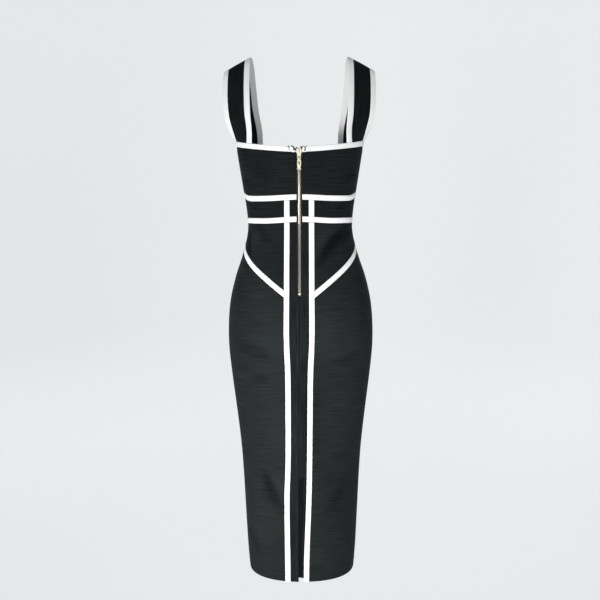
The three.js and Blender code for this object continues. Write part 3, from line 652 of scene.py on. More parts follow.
def shell(name, outer, inner, uv, node, finish, ease, loop=False, painted_shade=None):
    """A closed thin shell of cloth from its outer and inner grid.

    The ease is not used.
    Where it is given, the painted shade goes into an attribute that the finish reads.
    """
    points, faces, flat = closed_shell(outer, inner, uv, loop)
    piece = add_piece(name, points, faces.tolist(), flat, BODY, [node], material_for(finish))
    if painted_shade is not None:
        layer = piece.data.attributes.new("painted_shade", "FLOAT", "POINT")
        layer.data.foreach_set("value", np.tile(painted_shade.ravel(), 2).astype(np.float32))
    closed = np.concatenate([outer, outer[:1]]) if loop else outer
    width, length, area = flat_size(closed)
    return piece


def sunk_share(onto, arc, z):
    """How deep the cloth lies in a crease or hollow: 1 at PAINTED_SHADE_DEPTH below its even form. The
    knit's painted shade follows it.
    """
    girth = half_girth(z)
    around = arc if onto is skin else arc + girth
    return -relief((around + girth) % (2 * girth) - girth, z) / PAINTED_SHADE_DEPTH


def panel(node, pattern, onto, step=0.006, side=1, ribs="level", edge_lift=None):
    """One ribbed panel: the cut piece on the skin, one cloth thick, with rounded edges.

    side is -1 for the wearer's left, where the arcs are reversed. edge_lift(arc, z) moves the
    whole wall in or out. The flat coordinates are in metres, and the second runs across the ribs.
    """
    coarse = np.meshgrid(np.linspace(0, 1, 9), np.linspace(0, 1, 17))
    width, length, _ = flat_size(skin(*pattern(*coarse)))
    us, vs = shares_along(width, step), shares_along(length, step)
    u, v = np.meshgrid(us, vs)
    arc, z = pattern(u, v)
    full = round_edge(np.minimum(u, 1 - u) * width, np.minimum(v, 1 - v) * length)
    if side < 0:
        arc, z, full = -arc[:, ::-1], z[:, ::-1], full[:, ::-1]
    shift = 0 if edge_lift is None else edge_lift(arc, z)
    outer = onto(arc, z, shift - CLOTH / 2 + CLOTH / 2 * full)
    inner = onto(arc, z, shift - CLOTH / 2 - CLOTH / 2 * full)
    uv = np.stack([arc, z] if ribs == "level" else [z, arc], axis=-1)
    part = next(name for name in PAINTED_SHADE_BY_PART if name in node)
    # Painted shade for the knit: the part's own share, more in creases and hollows and where the strip is
    # set back at the vent, less (painted highlight) over swells and where the strip rolls out
    painted_shade = PAINTED_SHADE_BY_PART[part] + sunk_share(onto, arc, z) - shift / PAINTED_SHADE_DEPTH
    ease = settings("knit").ease
    return shell(f"{node}_cloth", outer, inner, uv, node, "knit", ease, painted_shade=painted_shade)


def face_lift(share):
    """Lift of a trim's outer face at a share of its width."""
    return np.interp(share, TRIM_FACE["share"], TRIM_FACE["lift"])


STITCH_LINES = []


def tape_shell(node, place, alongs, length, width, across_first, loop=False):
    """A trim: its face follows TRIM_FACE across the width, over a plain back.

    place(across, along, lift) gives its points. Rows of stitches are noted for later, each as
    the points of its line and the points just over them.
    """
    if across_first:
        across, along = np.meshgrid(TRIM_FACE["share"], alongs)
    else:
        along, across = np.meshgrid(alongs, TRIM_FACE["share"])
    full = 1.0
    if not loop:
        full = round_edge(np.minimum(along, 1 - along) * length, across * 0 + 1)
    middle = -CLOTH / 2
    outer = place(across, along, middle + (face_lift(across) - middle) * full)
    back = np.minimum(full, round_edge(across * width, (1 - across) * width))
    inner = place(across, along, middle - CLOTH / 2 * back)
    uv = np.stack([along * length, across * width], axis=-1)
    one_line = (-1, 1) if across_first else (1, -1)
    stations = alongs.reshape(one_line)
    for share in STITCH_SHARES:
        lifts = (face_lift(share), face_lift(share) + 0.001)
        shares = np.full_like(stations, share)
        on, over = (place(shares, stations, lift).reshape(-1, 3) for lift in lifts)
        STITCH_LINES.append((on, over, loop))
    return shell(f"{node}_tape", outer, inner, uv, node, "trim", settings("trim").ease, loop)


def on_skin(pattern, onto, side, across_first):
    """Turns a cut piece into a placing function of across, along and lift."""

    def place(across, along, lift):
        u, v = (across, along) if across_first else (along, across)
        if side < 0:
            u = 1 - u
        arc, z = pattern(u, v)
        return onto(side * arc, z, lift)

    return place


def trim(node, pattern, onto, side=1, upright=False, width=TRIM):
    """A trim cut on the flat cloth, either level or upright."""
    middle, many = np.full(33, 0.5), np.linspace(0, 1, 33)
    place = on_skin(pattern, onto, side, upright)
    line = place(middle, many, np.zeros(33))
    length = np.linalg.norm(np.diff(line, axis=0), axis=1).sum()
    return tape_shell(node, place, shares_along(length, 0.006), length, width, upright)


def strap_base(share, lift, behind):
    """Points where the strap meets the back or the front neckline."""
    half = ARMHOLE_HALF - ARMHOLE_TRIM
    if behind:
        arc = lerp(ARMHOLE_CENTRE - half - STRAP_WIDTH, ARMHOLE_CENTRE - half, share)
        return skin(arc, neck_back(arc) + GAP, lift)
    arc = lerp(ARMHOLE_CENTRE + half + STRAP_WIDTH, ARMHOLE_CENTRE + half, share)
    return skin(arc, neck_front(half_girth(NECK_SIDE) - arc) + GAP, lift)


def strap_curve(shares, alongs):
    """Centripetal Catmull-Rom curves through the stations, one for each share of the width.

    Between two stations the curve is a cubic whose end slopes come from the neighbouring chords,
    each weighted by the square root of its length.
    """
    t = STRAP_STATIONS
    inner = np.stack([t["xi"], t["yi"], t["zi"]], axis=-1)
    outer = np.stack([t["xo"], t["yo"], t["zo"]], axis=-1)
    rows = lerp(inner[:, None], outer[:, None], shares[None, :, None])
    base, top = strap_base(shares, 0.0, True), strap_base(shares, 0.0, False)
    points = np.concatenate([base[None], rows, top[None]])
    points = np.concatenate([2 * points[:1] - points[1:2], points, 2 * points[-1:] - points[-2:-1]])
    knots = len(points) - 3
    place = np.clip(alongs, 0, 1) * knots
    i = np.minimum(place.astype(int), knots - 1)
    w = (place - i)[:, None, None]
    p0, p1, p2, p3 = (points[i + k] for k in range(4))
    d0, d1, d2 = (
        np.sqrt(np.linalg.norm(b - a, axis=-1, keepdims=True))
        for a, b in ((p0, p1), (p1, p2), (p2, p3))
    )
    m1 = d1 * ((p1 - p0) / d0 - (p2 - p0) / (d0 + d1) + (p2 - p1) / d1)
    m2 = d1 * ((p2 - p1) / d1 - (p3 - p1) / (d1 + d2) + (p3 - p2) / d2)
    start = p1 + m1 * w + (-3 * p1 + 3 * p2 - 2 * m1 - m2) * w**2
    return start + (2 * p1 - 2 * p2 + m1 + m2) * w**3


def strap_points(shares, alongs, lift):
    """Points of the strap's face, crowned across its width, lifted along the normal."""
    step = 0.004
    across = strap_curve(shares + step, alongs) - strap_curve(shares - step, alongs)
    up = strap_curve(shares, alongs + step) - strap_curve(shares, alongs - step)
    normal = np.cross(across, up)
    normal /= np.linalg.norm(normal, axis=-1, keepdims=True)
    s, a = shares[None, :], alongs[:, None]
    crown = 4 * STRAP_CROWN * s * (1 - s) * ramp(a * (1 - a), 0, 0.09)
    lift = np.broadcast_to(lift, crown.shape)
    points = strap_curve(shares, alongs) + (lift + crown)[..., None] * normal
    points[alongs == 0] = strap_base(shares[None, :], lift[alongs == 0], True)
    points[alongs == 1] = strap_base(shares[None, :], lift[alongs == 1], False)
    return points


def mirror_for(side, points):
    """Points on the wearer's right, or the same on the left with the columns reversed."""
    return points if side > 0 else points[:, ::-1] * np.array([-1, 1, 1])


# Finishes


class Value:
    """A number that varies over the surface. Arithmetic on it adds Math nodes."""

    def __init__(self, finish, socket):
        self.finish = finish
        self.socket = socket

    def maths(self, operation, *values):
        """One Math node on these values."""
        return self.finish.node("ShaderNodeMath", {"operation": operation}, dict(enumerate(values)))

    def __add__(self, other):
        return self.maths("ADD", self, other)

    def __sub__(self, other):
        return self.maths("SUBTRACT", self, other)

    def __rsub__(self, other):
        return self.maths("SUBTRACT", other, self)

    def __mul__(self, other):
        return self.maths("MULTIPLY", self, other)

    def sine(self):
        """Its sine, in radians."""
        return self.maths("SINE", self)

    __radd__ = __add__


class Finish:
    """One material, built on its Principled shader."""

    def __init__(self, name, **constants):
        self.material = bpy.data.materials.new(name)
        self.material.use_nodes = True
        self.tree = self.material.node_tree
        self.shader = self.tree.nodes["Principled BSDF"]
        for socket, value in constants.items():
            self.shader.inputs[socket.replace("_", " ")].default_value = value

    def node(self, kind, settings=None, values=None, output=0):
        """Any node: its settings first, then a value or a link for each named socket."""
        node = self.tree.nodes.new(kind)
        for name, setting in (settings or {}).items():
            setattr(node, name, setting)
        for name, value in (values or {}).items():
            if isinstance(value, Value):
                self.tree.links.new(value.socket, node.inputs[name])
            else:
                node.inputs[name].default_value = value
        return Value(self, node.outputs[output])

    def flat(self):
        """The two flat coordinates of the cloth, along and across its ribs, in metres."""
        both = self.node("ShaderNodeUVMap", {"uv_map": "flat"})
        return [self.node("ShaderNodeSeparateXYZ", {}, {0: both}, axis) for axis in (0, 1)]

    def noise(self, size, detail=2.0, stretch=(1, 1, 1), flat=False):
        """Soft noise over the object's own coordinates or over the flat ones, of about that size."""
        if flat:
            place = self.node("ShaderNodeUVMap", {"uv_map": "flat"})
        else:
            place = self.node("ShaderNodeTexCoord", output=3)
        scaled = self.node("ShaderNodeMapping", {}, {"Vector": place, "Scale": stretch})
        values = {"Vector": scaled, "Scale": 1 / size, "Detail": detail}
        return self.node("ShaderNodeTexNoise", {}, values)

    def mix(self, share, first, second):
        """A colour between two others."""
        values = {0: share, 6: first, 7: second}
        return self.node("ShaderNodeMix", {"data_type": "RGBA"}, values, 2)

    def drive(self, socket, value):
        """Links a value to one of the shader's own sockets."""
        self.tree.links.new(value.socket, self.shader.inputs[socket])

    def bump(self, height, distance, strength):
        """Bumps the surface by a height from 0 to 1."""
        values = {"Height": height, "Distance": distance, "Strength": strength}
        self.drive("Normal", self.node("ShaderNodeBump", {}, values))


MATERIALS = {}


def knit_finish():
    """Black rib knit: rounded ribs with painted shade in the grooves between them, small stitches along
    each, and uneven dye in clouds and streaks.

    The painted_shade attribute darkens the creases, the hollows and the upper parts as painted shade, and
    lightens the swells as painted highlight.
    """
    values = settings("knit")
    finish = Finish(
        "rib_knit", Sheen_Weight=values.sheen, Sheen_Roughness=0.5, Specular_IOR_Level=0.03
    )
    along, across = finish.flat()
    wander = finish.noise(0.05, 2.0) * 0.0009
    rib = ((across + wander) * (2 * math.pi / values.rib_pitch)).sine() * 0.5 + 0.5
    loop = (along * (2 * math.pi / values.loop_pitch)).sine() * 0.5 + 0.5
    cloud = finish.noise(0.09, 3.0)
    streak = (finish.noise(0.02, 2.0, (0.35, 8.5, 1.0), flat=True) - 0.5) * 1.9 + 0.5
    # Painted shade from the attribute: darker in creases, hollows and upper parts, lighter over swells
    painted_shade = finish.node("ShaderNodeAttribute", {"attribute_name": "painted_shade"}, {}, 2)
    # rib * 0.2 paints shade into the grooves between the ribs; cloud and streak are uneven dye
    share = rib * 0.2 + cloud * 0.3 + streak * 0.5 - painted_shade * 0.45
    height = rib * 0.6 + rib * loop * 0.15 + streak * 0.5
    finish.bump(height, values.rib_depth, 1.0)
    dark = [c * 0.3 for c in values.colour[:3]] + [1]
    light = [c * 1.75 for c in values.colour[:3]] + [1]
    finish.drive("Base Color", finish.mix(share, dark, light))
    finish.drive("Roughness", 0.80 - rib * 0.10 - streak * 0.12)
    return finish.material


def trim_finish():
    """White stretch tape: fine cross ribs with painted shade in the hollows between them, and a faint
    uneven greying.
    """
    values = settings("trim")
    finish = Finish("white_tape", Sheen_Weight=0.1, Sheen_Roughness=0.4, Specular_IOR_Level=0.35)
    along, across = finish.flat()
    rib = (along * (2 * math.pi / values.weave_pitch)).sine() * 0.5 + 0.5
    wale = (across * (2 * math.pi / (values.weave_pitch * 1.4))).sine() * 0.5 + 0.5
    finish.bump(rib * 0.6 + wale * 0.4, 0.00018, 0.7)
    cloud = finish.noise(0.03, 3.0)
    # rib * 0.3 paints shade into the hollows between the cross ribs; the cloud is an uneven greying
    share = rib * 0.3 + cloud * 0.5
    shade = [c * 0.93 for c in values.colour[:3]] + [1]
    finish.drive("Base Color", finish.mix(share, shade, [*values.colour[:3], 1]))
    finish.drive("Roughness", 0.78 - rib * 0.1)
    return finish.material


def tape_finish():
    """Black woven zip tape: a fine twill that slants across it."""
    finish = Finish("zip_tape", Specular_IOR_Level=0.3)
    along, across = finish.flat()
    twill = ((along + across) * (2 * math.pi / 0.0008)).sine() * 0.5 + 0.5
    finish.bump(twill, 0.00012, 0.8)
    finish.drive("Base Color", finish.mix(twill, [0.006, 0.006, 0.007, 1], [0.018, 0.018, 0.02, 1]))
    finish.drive("Roughness", 0.9 - twill * 0.1)
    return finish.material


def metal_finish(name, colour):
    """Pale gold plating: a little uneven in gloss, with fine rubbing marks."""
    finish = Finish(name, Metallic=1.0)
    cloud = finish.noise(0.004, 3.0)
    rub = finish.noise(0.0006, 1.0, (1, 1, 0.15))
    dark = [c * 0.8 for c in colour] + [1]
    finish.drive("Base Color", finish.mix(cloud * 0.6 + rub * 0.3, dark, [*colour, 1]))
    finish.drive("Roughness", cloud * 0.14 + rub * 0.08 + 0.24)
    finish.bump(rub, 0.00002, 0.5)
    return finish.material


def thread_finish(name, colour):
    """Sewing thread with a fine twist along it."""
    finish = Finish(name, Specular_IOR_Level=0.4)
    twist = finish.noise(0.0004, 2.0)
    dark = [c * 0.75 for c in colour] + [1]
    finish.drive("Base Color", finish.mix(twist, dark, [*colour, 1]))
    finish.drive("Roughness", 0.65 + twist * 0.15)
    finish.bump(twist, 0.00006, 0.6)
    return finish.material


def material_for(name):
    """The material of a finish, made the first time it is asked for."""
    makers = {
        "knit": knit_finish,
        "trim": trim_finish,
        "zip_tape": tape_finish,
        "metal": lambda: metal_finish("pale_gold", settings("zip").metal[:3]),
        "teeth": lambda: metal_finish("pale_teeth", settings("zip").teeth[:3]),
        "white_thread": lambda: thread_finish("white_thread", settings("trim").thread[:3]),
        "black_thread": lambda: thread_finish("black_thread", (0.012, 0.012, 0.013)),
    }
    if name not in MATERIALS:
        MATERIALS[name] = makers[name]()
    return MATERIALS[name]


# Small repeated things


def circle(size, centre, count=24):
    """Points round a centre at a distance."""
    turn = np.linspace(0, 2 * math.pi, count, endpoint=False)
    return np.array(centre) + size * np.stack([np.cos(turn), np.sin(turn)], axis=-1)


def rings_along(along, wide, high, ring):
    """Rings of points along the first axis, each the same ring at its own width and height."""
    points = np.empty((len(along), len(ring), 3))
    points[..., 0] = np.array(along)[:, None]
    points[..., 1] = ring[:, 0] * np.array(wide)[:, None]
    points[..., 2] = ring[:, 1] * np.array(high)[:, None]
    return ring_stack(points)


def bar_template():
    """A short bar along the first axis, 1 long and wide: hexagons that shrink to both ends."""
    grow = (0.55, 1, 1, 0.55)
    return rings_along((-0.5, -0.3, 0.3, 0.5), grow, grow, circle(0.5, (0, 0), 6))


def repeated(template, faces, origins, firsts, seconds, thirds):
    """Copies of a template, one at each origin, along three axes that carry its size."""
    axes = np.stack([firsts, seconds, thirds], axis=1)
    points = origins[:, None] + np.einsum("pk,nkc->npc", template, axes)
    shift = len(template)
    every = [[v + shift * n for v in face] for n in range(len(origins)) for face in faces]
    return points.reshape(-1, 3), every


def spaced_along(line, pitch, loop):
    """Even stations on a polyline: the share of the way along, by adding up its chords."""
    if loop:
        line = np.concatenate([line, line[:1]])
    run = np.concatenate([[0], np.cumsum(np.linalg.norm(np.diff(line, axis=0), axis=1))])
    count = max(2, int(run[-1] / pitch))
    at = (np.arange(count) + 0.5) / count * run[-1]
    return lambda values: np.stack([np.interp(at, run, column) for column in values.T], axis=-1)


def stitch_bars(line, over, pitch, long, wide, high, loop=False):
    """Origins and axes of one row of stitches along a line, each a small bar lying on it."""
    pick = spaced_along(line, pitch, loop)
    if loop:
        line, over = np.concatenate([line, line[:1]]), np.concatenate([over, over[:1]])
    origins, above = pick(line), pick(over)
    ahead = np.gradient(origins, axis=0)
    ahead /= np.linalg.norm(ahead, axis=1, keepdims=True)
    up = above - origins
    up -= (up * ahead).sum(axis=1, keepdims=True) * ahead
    up /= np.linalg.norm(up, axis=1, keepdims=True)
    side = np.cross(up, ahead)
    return origins, ahead * long, side * wide, up * high


def joined_bars(name, rows, finish):
    """One mesh of every row of stitches."""
    origins, firsts, seconds, thirds = (np.concatenate(part) for part in zip(*rows))
    template, faces = bar_template()
    points, every = repeated(template, faces, origins, firsts, seconds, thirds)
    return add_piece(name, points, every, None, BODY, (), material_for(finish))


# Metal parts


def corners_cut(points, rounds=3):
    """A closed outline with its corners cut off a few times, each cut at a quarter of a side."""
    outline = np.array(points, float)
    for _ in range(rounds):
        after = np.roll(outline, -1, axis=0)
        outline = np.stack([lerp(outline, after, 0.25), lerp(outline, after, 0.75)], axis=1)
        outline = outline.reshape(-1, 2)
    return outline


def by_turn(outline, centre, count):
    """A closed outline read at even turns round a centre inside it."""
    away = outline - centre
    turns = np.unwrap(np.arctan2(away[:, 1], away[:, 0]))
    if turns[-1] < turns[0]:
        away, turns = away[::-1], turns[::-1]
    turns = np.append(turns, turns[0] + 2 * math.pi)
    closed = np.concatenate([away, away[:1]])
    ahead = np.linspace(0, 2 * math.pi, count, endpoint=False) + np.mod(-turns[0], 2 * math.pi / count)
    wanted = turns[0] + np.sort(np.mod(ahead, 2 * math.pi))
    return centre + np.stack([np.interp(wanted, turns, closed[:, k]) for k in (0, 1)], axis=-1)


def plate(outline, hole, low, high, axes=(0, 1, 2)):
    """A flat plate between two levels, from its outline and a hole, or from a middle point.

    Where there is no hole, both faces are fans round the middle. axes says which axis each of
    the outline's two coordinates and the level goes to.
    """
    count = len(outline)
    if hole is None:
        rings = [(outline, low), (outline, high)]
        flat = np.concatenate([np.column_stack([ring, np.full(count, z)]) for ring, z in rings])
        middle = outline.mean(axis=0)
        flat = np.concatenate([flat, [[*middle, low], [*middle, high]]])
        walls = grid_faces(2, count, loop_columns=True).tolist()
        k, after = np.arange(count), (np.arange(count) + 1) % count
        under = np.stack([after, k, np.full(count, 2 * count)], axis=-1).tolist()
        over = np.stack([k + count, after + count, np.full(count, 2 * count + 1)], axis=-1).tolist()
        faces = walls + under + over
    else:
        rings = [(hole, low), (outline, low), (outline, high), (hole, high)]
        flat = np.concatenate([np.column_stack([ring, np.full(count, z)]) for ring, z in rings])
        faces = grid_faces(4, count, loop_rows=True, loop_columns=True).tolist()
    points = np.empty_like(flat)
    points[:, list(axes)] = flat
    odd = sum(axes[i] > axes[j] for i in range(3) for j in range(i + 1, 3)) % 2
    return points, [face[::-1] for face in faces] if odd else faces


def metal_piece(name, points, faces, node, body=BODY, finish="metal"):
    """A metal piece in the place of one solid."""
    return add_piece(name, points, faces, None, body, [node], material_for(finish))


def hardware(name, parts, node, body, bevel):
    """Joins plates, given across, up and out from the cloth, into one bevelled metal piece."""
    origin_y = -radius(0.0, SLIDER_Z)
    points, faces, start = [], [], 0
    for local, local_faces in parts:
        across, up, out = local.T
        points.append(np.stack([across, origin_y - out, SLIDER_Z + up], axis=-1))
        faces += [[v + start for v in face] for face in local_faces]
        start += len(local)
    piece = metal_piece(name, np.concatenate(points), faces, node, body)
    piece.data.set_sharp_from_angle(angle=math.radians(40))
    edges = piece.modifiers.new("edges", "BEVEL")
    edges.width = bevel
    edges.segments = 2
    edges.limit_method = "ANGLE"
    edges.angle_limit = math.radians(40)
    edges.harden_normals = True
    return piece


def rounded_box(half, low, high, corner, count=48):
    """An upright rectangle with quarter circles at its corners, read at even turns."""
    right, top, bottom = half - corner, high - corner, low + corner
    arcs = []
    for quarter, centre in enumerate(((right, top), (-right, top), (-right, bottom), (right, bottom))):
        turn = np.linspace(0, math.pi / 2, 7) + quarter * math.pi / 2
        arcs.append(centre + corner * np.stack([np.cos(turn), np.sin(turn)], axis=-1))
    return by_turn(np.concatenate(arcs), np.array([0, (low + high) / 2]), count)


# Sizes and colours that a user would change


class KnitSettings(bpy.types.PropertyGroup):
    """The ribbed cloth."""

    colour: FloatVectorProperty(
        name="Colour", description="Colour of the knit", subtype="COLOR", size=4,
        min=0, max=1, default=(0.0114, 0.0137, 0.0142, 1),
    )
    rib_pitch: FloatProperty(
        name="Rib pitch", description="From one rib to the next", unit="LENGTH", default=0.0021,
    )
    rib_depth: FloatProperty(
        name="Rib depth", description="Height of a rib", unit="LENGTH", default=0.00045,
    )
    loop_pitch: FloatProperty(
        name="Loop pitch", description="From one stitch to the next along a rib",
        unit="LENGTH", default=0.0012,
    )
    sheen: FloatProperty(
        name="Sheen", description="Soft light at the cloth's edges", subtype="FACTOR",
        min=0, max=1, default=0.004,
    )
    ease: FloatProperty(
        name="Cut to worn width", description="Flat width of the cut as a share of the worn one",
        subtype="FACTOR", min=0.7, max=1, default=0.94,
    )


class TrimSettings(bpy.types.PropertyGroup):
    """The white tape and its stitches."""

    colour: FloatVectorProperty(
        name="Colour", description="Colour of the tape", subtype="COLOR", size=4,
        min=0, max=1, default=(0.76, 0.76, 0.755, 1),
    )
    thread: FloatVectorProperty(
        name="Thread", description="Colour of the sewing thread", subtype="COLOR", size=4,
        min=0, max=1, default=(0.72, 0.72, 0.71, 1),
    )
    weave_pitch: FloatProperty(
        name="Weave pitch", description="From one cross rib to the next", unit="LENGTH",
        default=0.0009,
    )
    stitch_pitch: FloatProperty(
        name="Stitch pitch", description="From one stitch to the next", unit="LENGTH",
        default=0.0031,
    )
    ease: FloatProperty(
        name="Cut to worn length", description="Flat length of the tape as a share of the worn one",
        subtype="FACTOR", min=0.7, max=1, default=0.97,
    )


class ZipSettings(bpy.types.PropertyGroup):
    """The exposed metal zip."""

    metal: FloatVectorProperty(
        name="Metal", description="Colour of the plating", subtype="COLOR", size=4,
        min=0, max=1, default=(0.80, 0.72, 0.56, 1),
    )
    teeth: FloatVectorProperty(
        name="Teeth", description="Colour of the teeth", subtype="COLOR", size=4,
        min=0, max=1, default=(0.88, 0.80, 0.66, 1),
    )
    tooth_pitch: FloatProperty(
        name="Tooth pitch", description="From one tooth to the next on one side", unit="LENGTH",
        default=0.0025,
    )


class StudioSettings(bpy.types.PropertyGroup):
    """The camera and the lights."""

    distance: FloatProperty(
        name="Camera distance", description="From the shoulder line's axis", unit="LENGTH",
        default=1.9,
    )
    height: FloatProperty(
        name="Camera height", description="Over the shoulder line", unit="LENGTH", default=-0.296,
    )
    turn: FloatProperty(
        name="Camera turn", description="Round to the wearer's right", unit="ROTATION",
        default=math.radians(1.0),
    )
    pitch: FloatProperty(
        name="Camera pitch", description="Below level", unit="ROTATION",
        default=math.radians(6.93),
    )
    roll: FloatProperty(
        name="Camera roll", description="Clockwise", unit="ROTATION", default=math.radians(0.3),
    )
    lens: FloatProperty(name="Lens", description="Focal length in millimetres", default=49.93)
    floor: FloatProperty(
        name="Floor", description="Height of the floor", unit="LENGTH", default=-1.46,
    )
    key: FloatProperty(name="Key light", description="Power of the main light", default=8.0)
    fill: FloatProperty(
        name="Fill light", description="Power that the other lights are shares of", default=4.0,
    )
    sky: FloatProperty(
        name="Room light", description="Strength of the even light all round", default=0.35,
    )


GROUPS = {
    "knit": KnitSettings,
    "trim": TrimSettings,
    "zip": ZipSettings,
    "studio": StudioSettings,
}


def settings(name):
    """The scene's settings for the knit, trim, zip or studio."""
    return getattr(bpy.context.scene, f"dress_{name}")


SIDES = (("right", 1), ("left", -1))


class DRESS_OT_stage(bpy.types.Operator):
    """Makes the pale floor that curves up all round, the soft lights and the camera"""

    bl_idname = "dress.stage"
    bl_label = "Stage"

    def execute(self, context):
        values = settings("studio")
        context.scene.view_settings.view_transform = "Standard"
        self.sweep(values.floor)
        self.lights(values)
        self.camera(values)
        return {"FINISHED"}

    def sweep(self, floor, reach=5.6, cove=3.4, top=3.4):
        """Floor and wall as one profile turned round: flat, a quarter circle, upright."""
        bend = np.linspace(0, math.pi / 2, 33)
        out = np.concatenate([[0.05, 1.0], reach - cove + cove * np.sin(bend), [reach, reach]])
        up = np.concatenate([[0, 0], cove - cove * np.cos(bend), [cove + 0.1, top + 0.2]])
        turn = np.linspace(0, 2 * math.pi, 96, endpoint=False)
        x, y = out[:, None] * np.cos(turn), out[:, None] * np.sin(turn)
        points = np.stack([x, y, np.broadcast_to(floor + up[:, None], x.shape)], axis=-1)
        faces = grid_faces(len(out), len(turn), loop_columns=True)[:, ::-1].tolist()
        faces.append(list(range(len(turn))))
        mesh = bpy.data.meshes.new("backdrop")
        mesh.from_pydata(points.reshape(-1, 3).tolist(), [], faces)
        mesh.polygons.foreach_set("use_smooth", np.ones(len(mesh.polygons), bool))
        backdrop = bpy.data.objects.new("backdrop", mesh)
        bpy.context.scene.collection.objects.link(backdrop)
        finish = Finish("pale_paint", Specular_IOR_Level=0.2, Emission_Strength=0.54)
        finish.shader.inputs["Emission Color"].default_value = (0.93, 0.94, 0.95, 1)
        grain = finish.noise(0.02, 4.0)
        tone = finish.mix(grain, (0.48, 0.49, 0.49, 1), (0.52, 0.53, 0.53, 1))
        finish.drive("Base Color", tone)
        finish.drive("Roughness", grain * 0.1 + 0.85)
        mesh.materials.append(finish.material)

    def lights(self, values):
        """Soft square lights aimed at the dress, and an even light all round."""
        world = bpy.data.worlds.new("room")
        world.use_nodes = True
        world.node_tree.nodes["Background"].inputs["Color"].default_value = (0.96, 0.98, 1, 1)
        world.node_tree.nodes["Background"].inputs["Strength"].default_value = values.sky
        bpy.context.scene.world = world
        spots = (
            ("key", (-0.8, -2.4, -1.0), values.key, 0.7, 0.9),
            ("fill_right", (1.7, -2.3, -0.5), values.fill, 1.6, math.pi),
            ("front_left", (-1.6, 2.4, 0.4), values.fill * 1.6, 1.7, math.pi),
            ("front_right", (1.5, 2.5, 0.4), values.fill * 1.2, 1.6, math.pi),
        )
        aim = Vector((0, 0, -0.8))
        for name, place, power, size, spread in spots:
            light = bpy.data.lights.new(name, "AREA")
            light.energy = power
            light.size = size
            light.spread = spread
            lamp = bpy.data.objects.new(name, light)
            lamp.location = place
            lamp.rotation_euler = (Vector(place) - aim).to_track_quat("Z", "Y").to_euler()
            bpy.context.scene.collection.objects.link(lamp)

    def camera(self, values):
        """The camera at the photograph's height, turned and tipped as it was."""
        data = bpy.data.cameras.new("camera")
        data.lens = values.lens
        data.sensor_width = 36
        data.clip_start = 0.05
        camera = bpy.data.objects.new("camera", data)
        x, y = math.sin(values.turn), -math.cos(values.turn)
        camera.location = (values.distance * x, values.distance * y, values.height)
        camera.rotation_euler = (math.pi / 2 - values.pitch, values.roll, values.turn)
        bpy.context.scene.collection.objects.link(camera)
        bpy.context.scene.camera = camera


class DRESS_OT_bodice(bpy.types.Operator):
    """Makes the front bodice with its two cups and both back bodices"""

    bl_idname = "dress.bodice"
    bl_label = "Bodice"

    def execute(self, context):
        back = cut(ZIP_EDGE, back_side, moved(WAIST_BACK, GAP), self.back_top)
        front = cut(front_right, front_left, moved(WAIST_FRONT, GAP), self.front_top)
        for name, side in SIDES:
            panel(f"back_bodice_{name}", back, skin, 0.005, side)
        panel("front_bodice", front, front_skin, 0.005)
        return {"FINISHED"}

    def back_top(self, arc):
        """Under the neckline trim as far as the armhole trim, then round under that."""
        corner = armhole_edge(NECK_TURN, GAP)[0]
        return np.where(arc < corner, neck_back(arc) - NECK_TRIM - GAP, armhole_level(arc, GAP))

    def front_top(self, arc):
        """The same for the front, where the armhole's arc depends on the height."""
        corner = armhole_edge(math.pi - NECK_TURN, GAP)[0]
        z = NECK_SIDE - ARMHOLE_DROP + 0 * arc
        for _ in range(8):
            z = armhole_level(half_girth(z) - np.abs(arc), GAP)
        in_front = half_girth(z) - np.abs(arc) > corner
        return np.where(in_front, neck_front(arc) - NECK_TRIM - GAP, z)


class DRESS_OT_waist(bpy.types.Operator):
    """Makes the waist band, front and back, between the two level trims"""

    bl_idname = "dress.waist"
    bl_label = "Waist band"

    def execute(self, context):
        low, high = moved(LOWER_BACK, GAP), under(WAIST_BACK, GAP)
        for name, side in SIDES:
            inner, outer = centre_inner(name), centre_outer(name)
            centre = cut(ZIP_EDGE, moved(inner, -GAP), low, high)
            aside = cut(moved(outer, GAP), back_side, low, high)
            panel(f"back_waist_centre_{name}", centre, skin, 0.004, side)
            panel(f"back_waist_side_{name}", aside, skin, 0.004, side)
        low, high = moved(LOWER_FRONT, GAP), under(WAIST_FRONT, GAP)
        panel("front_waist", cut(front_right, front_left, low, high), front_skin, 0.004)
        return {"FINISHED"}


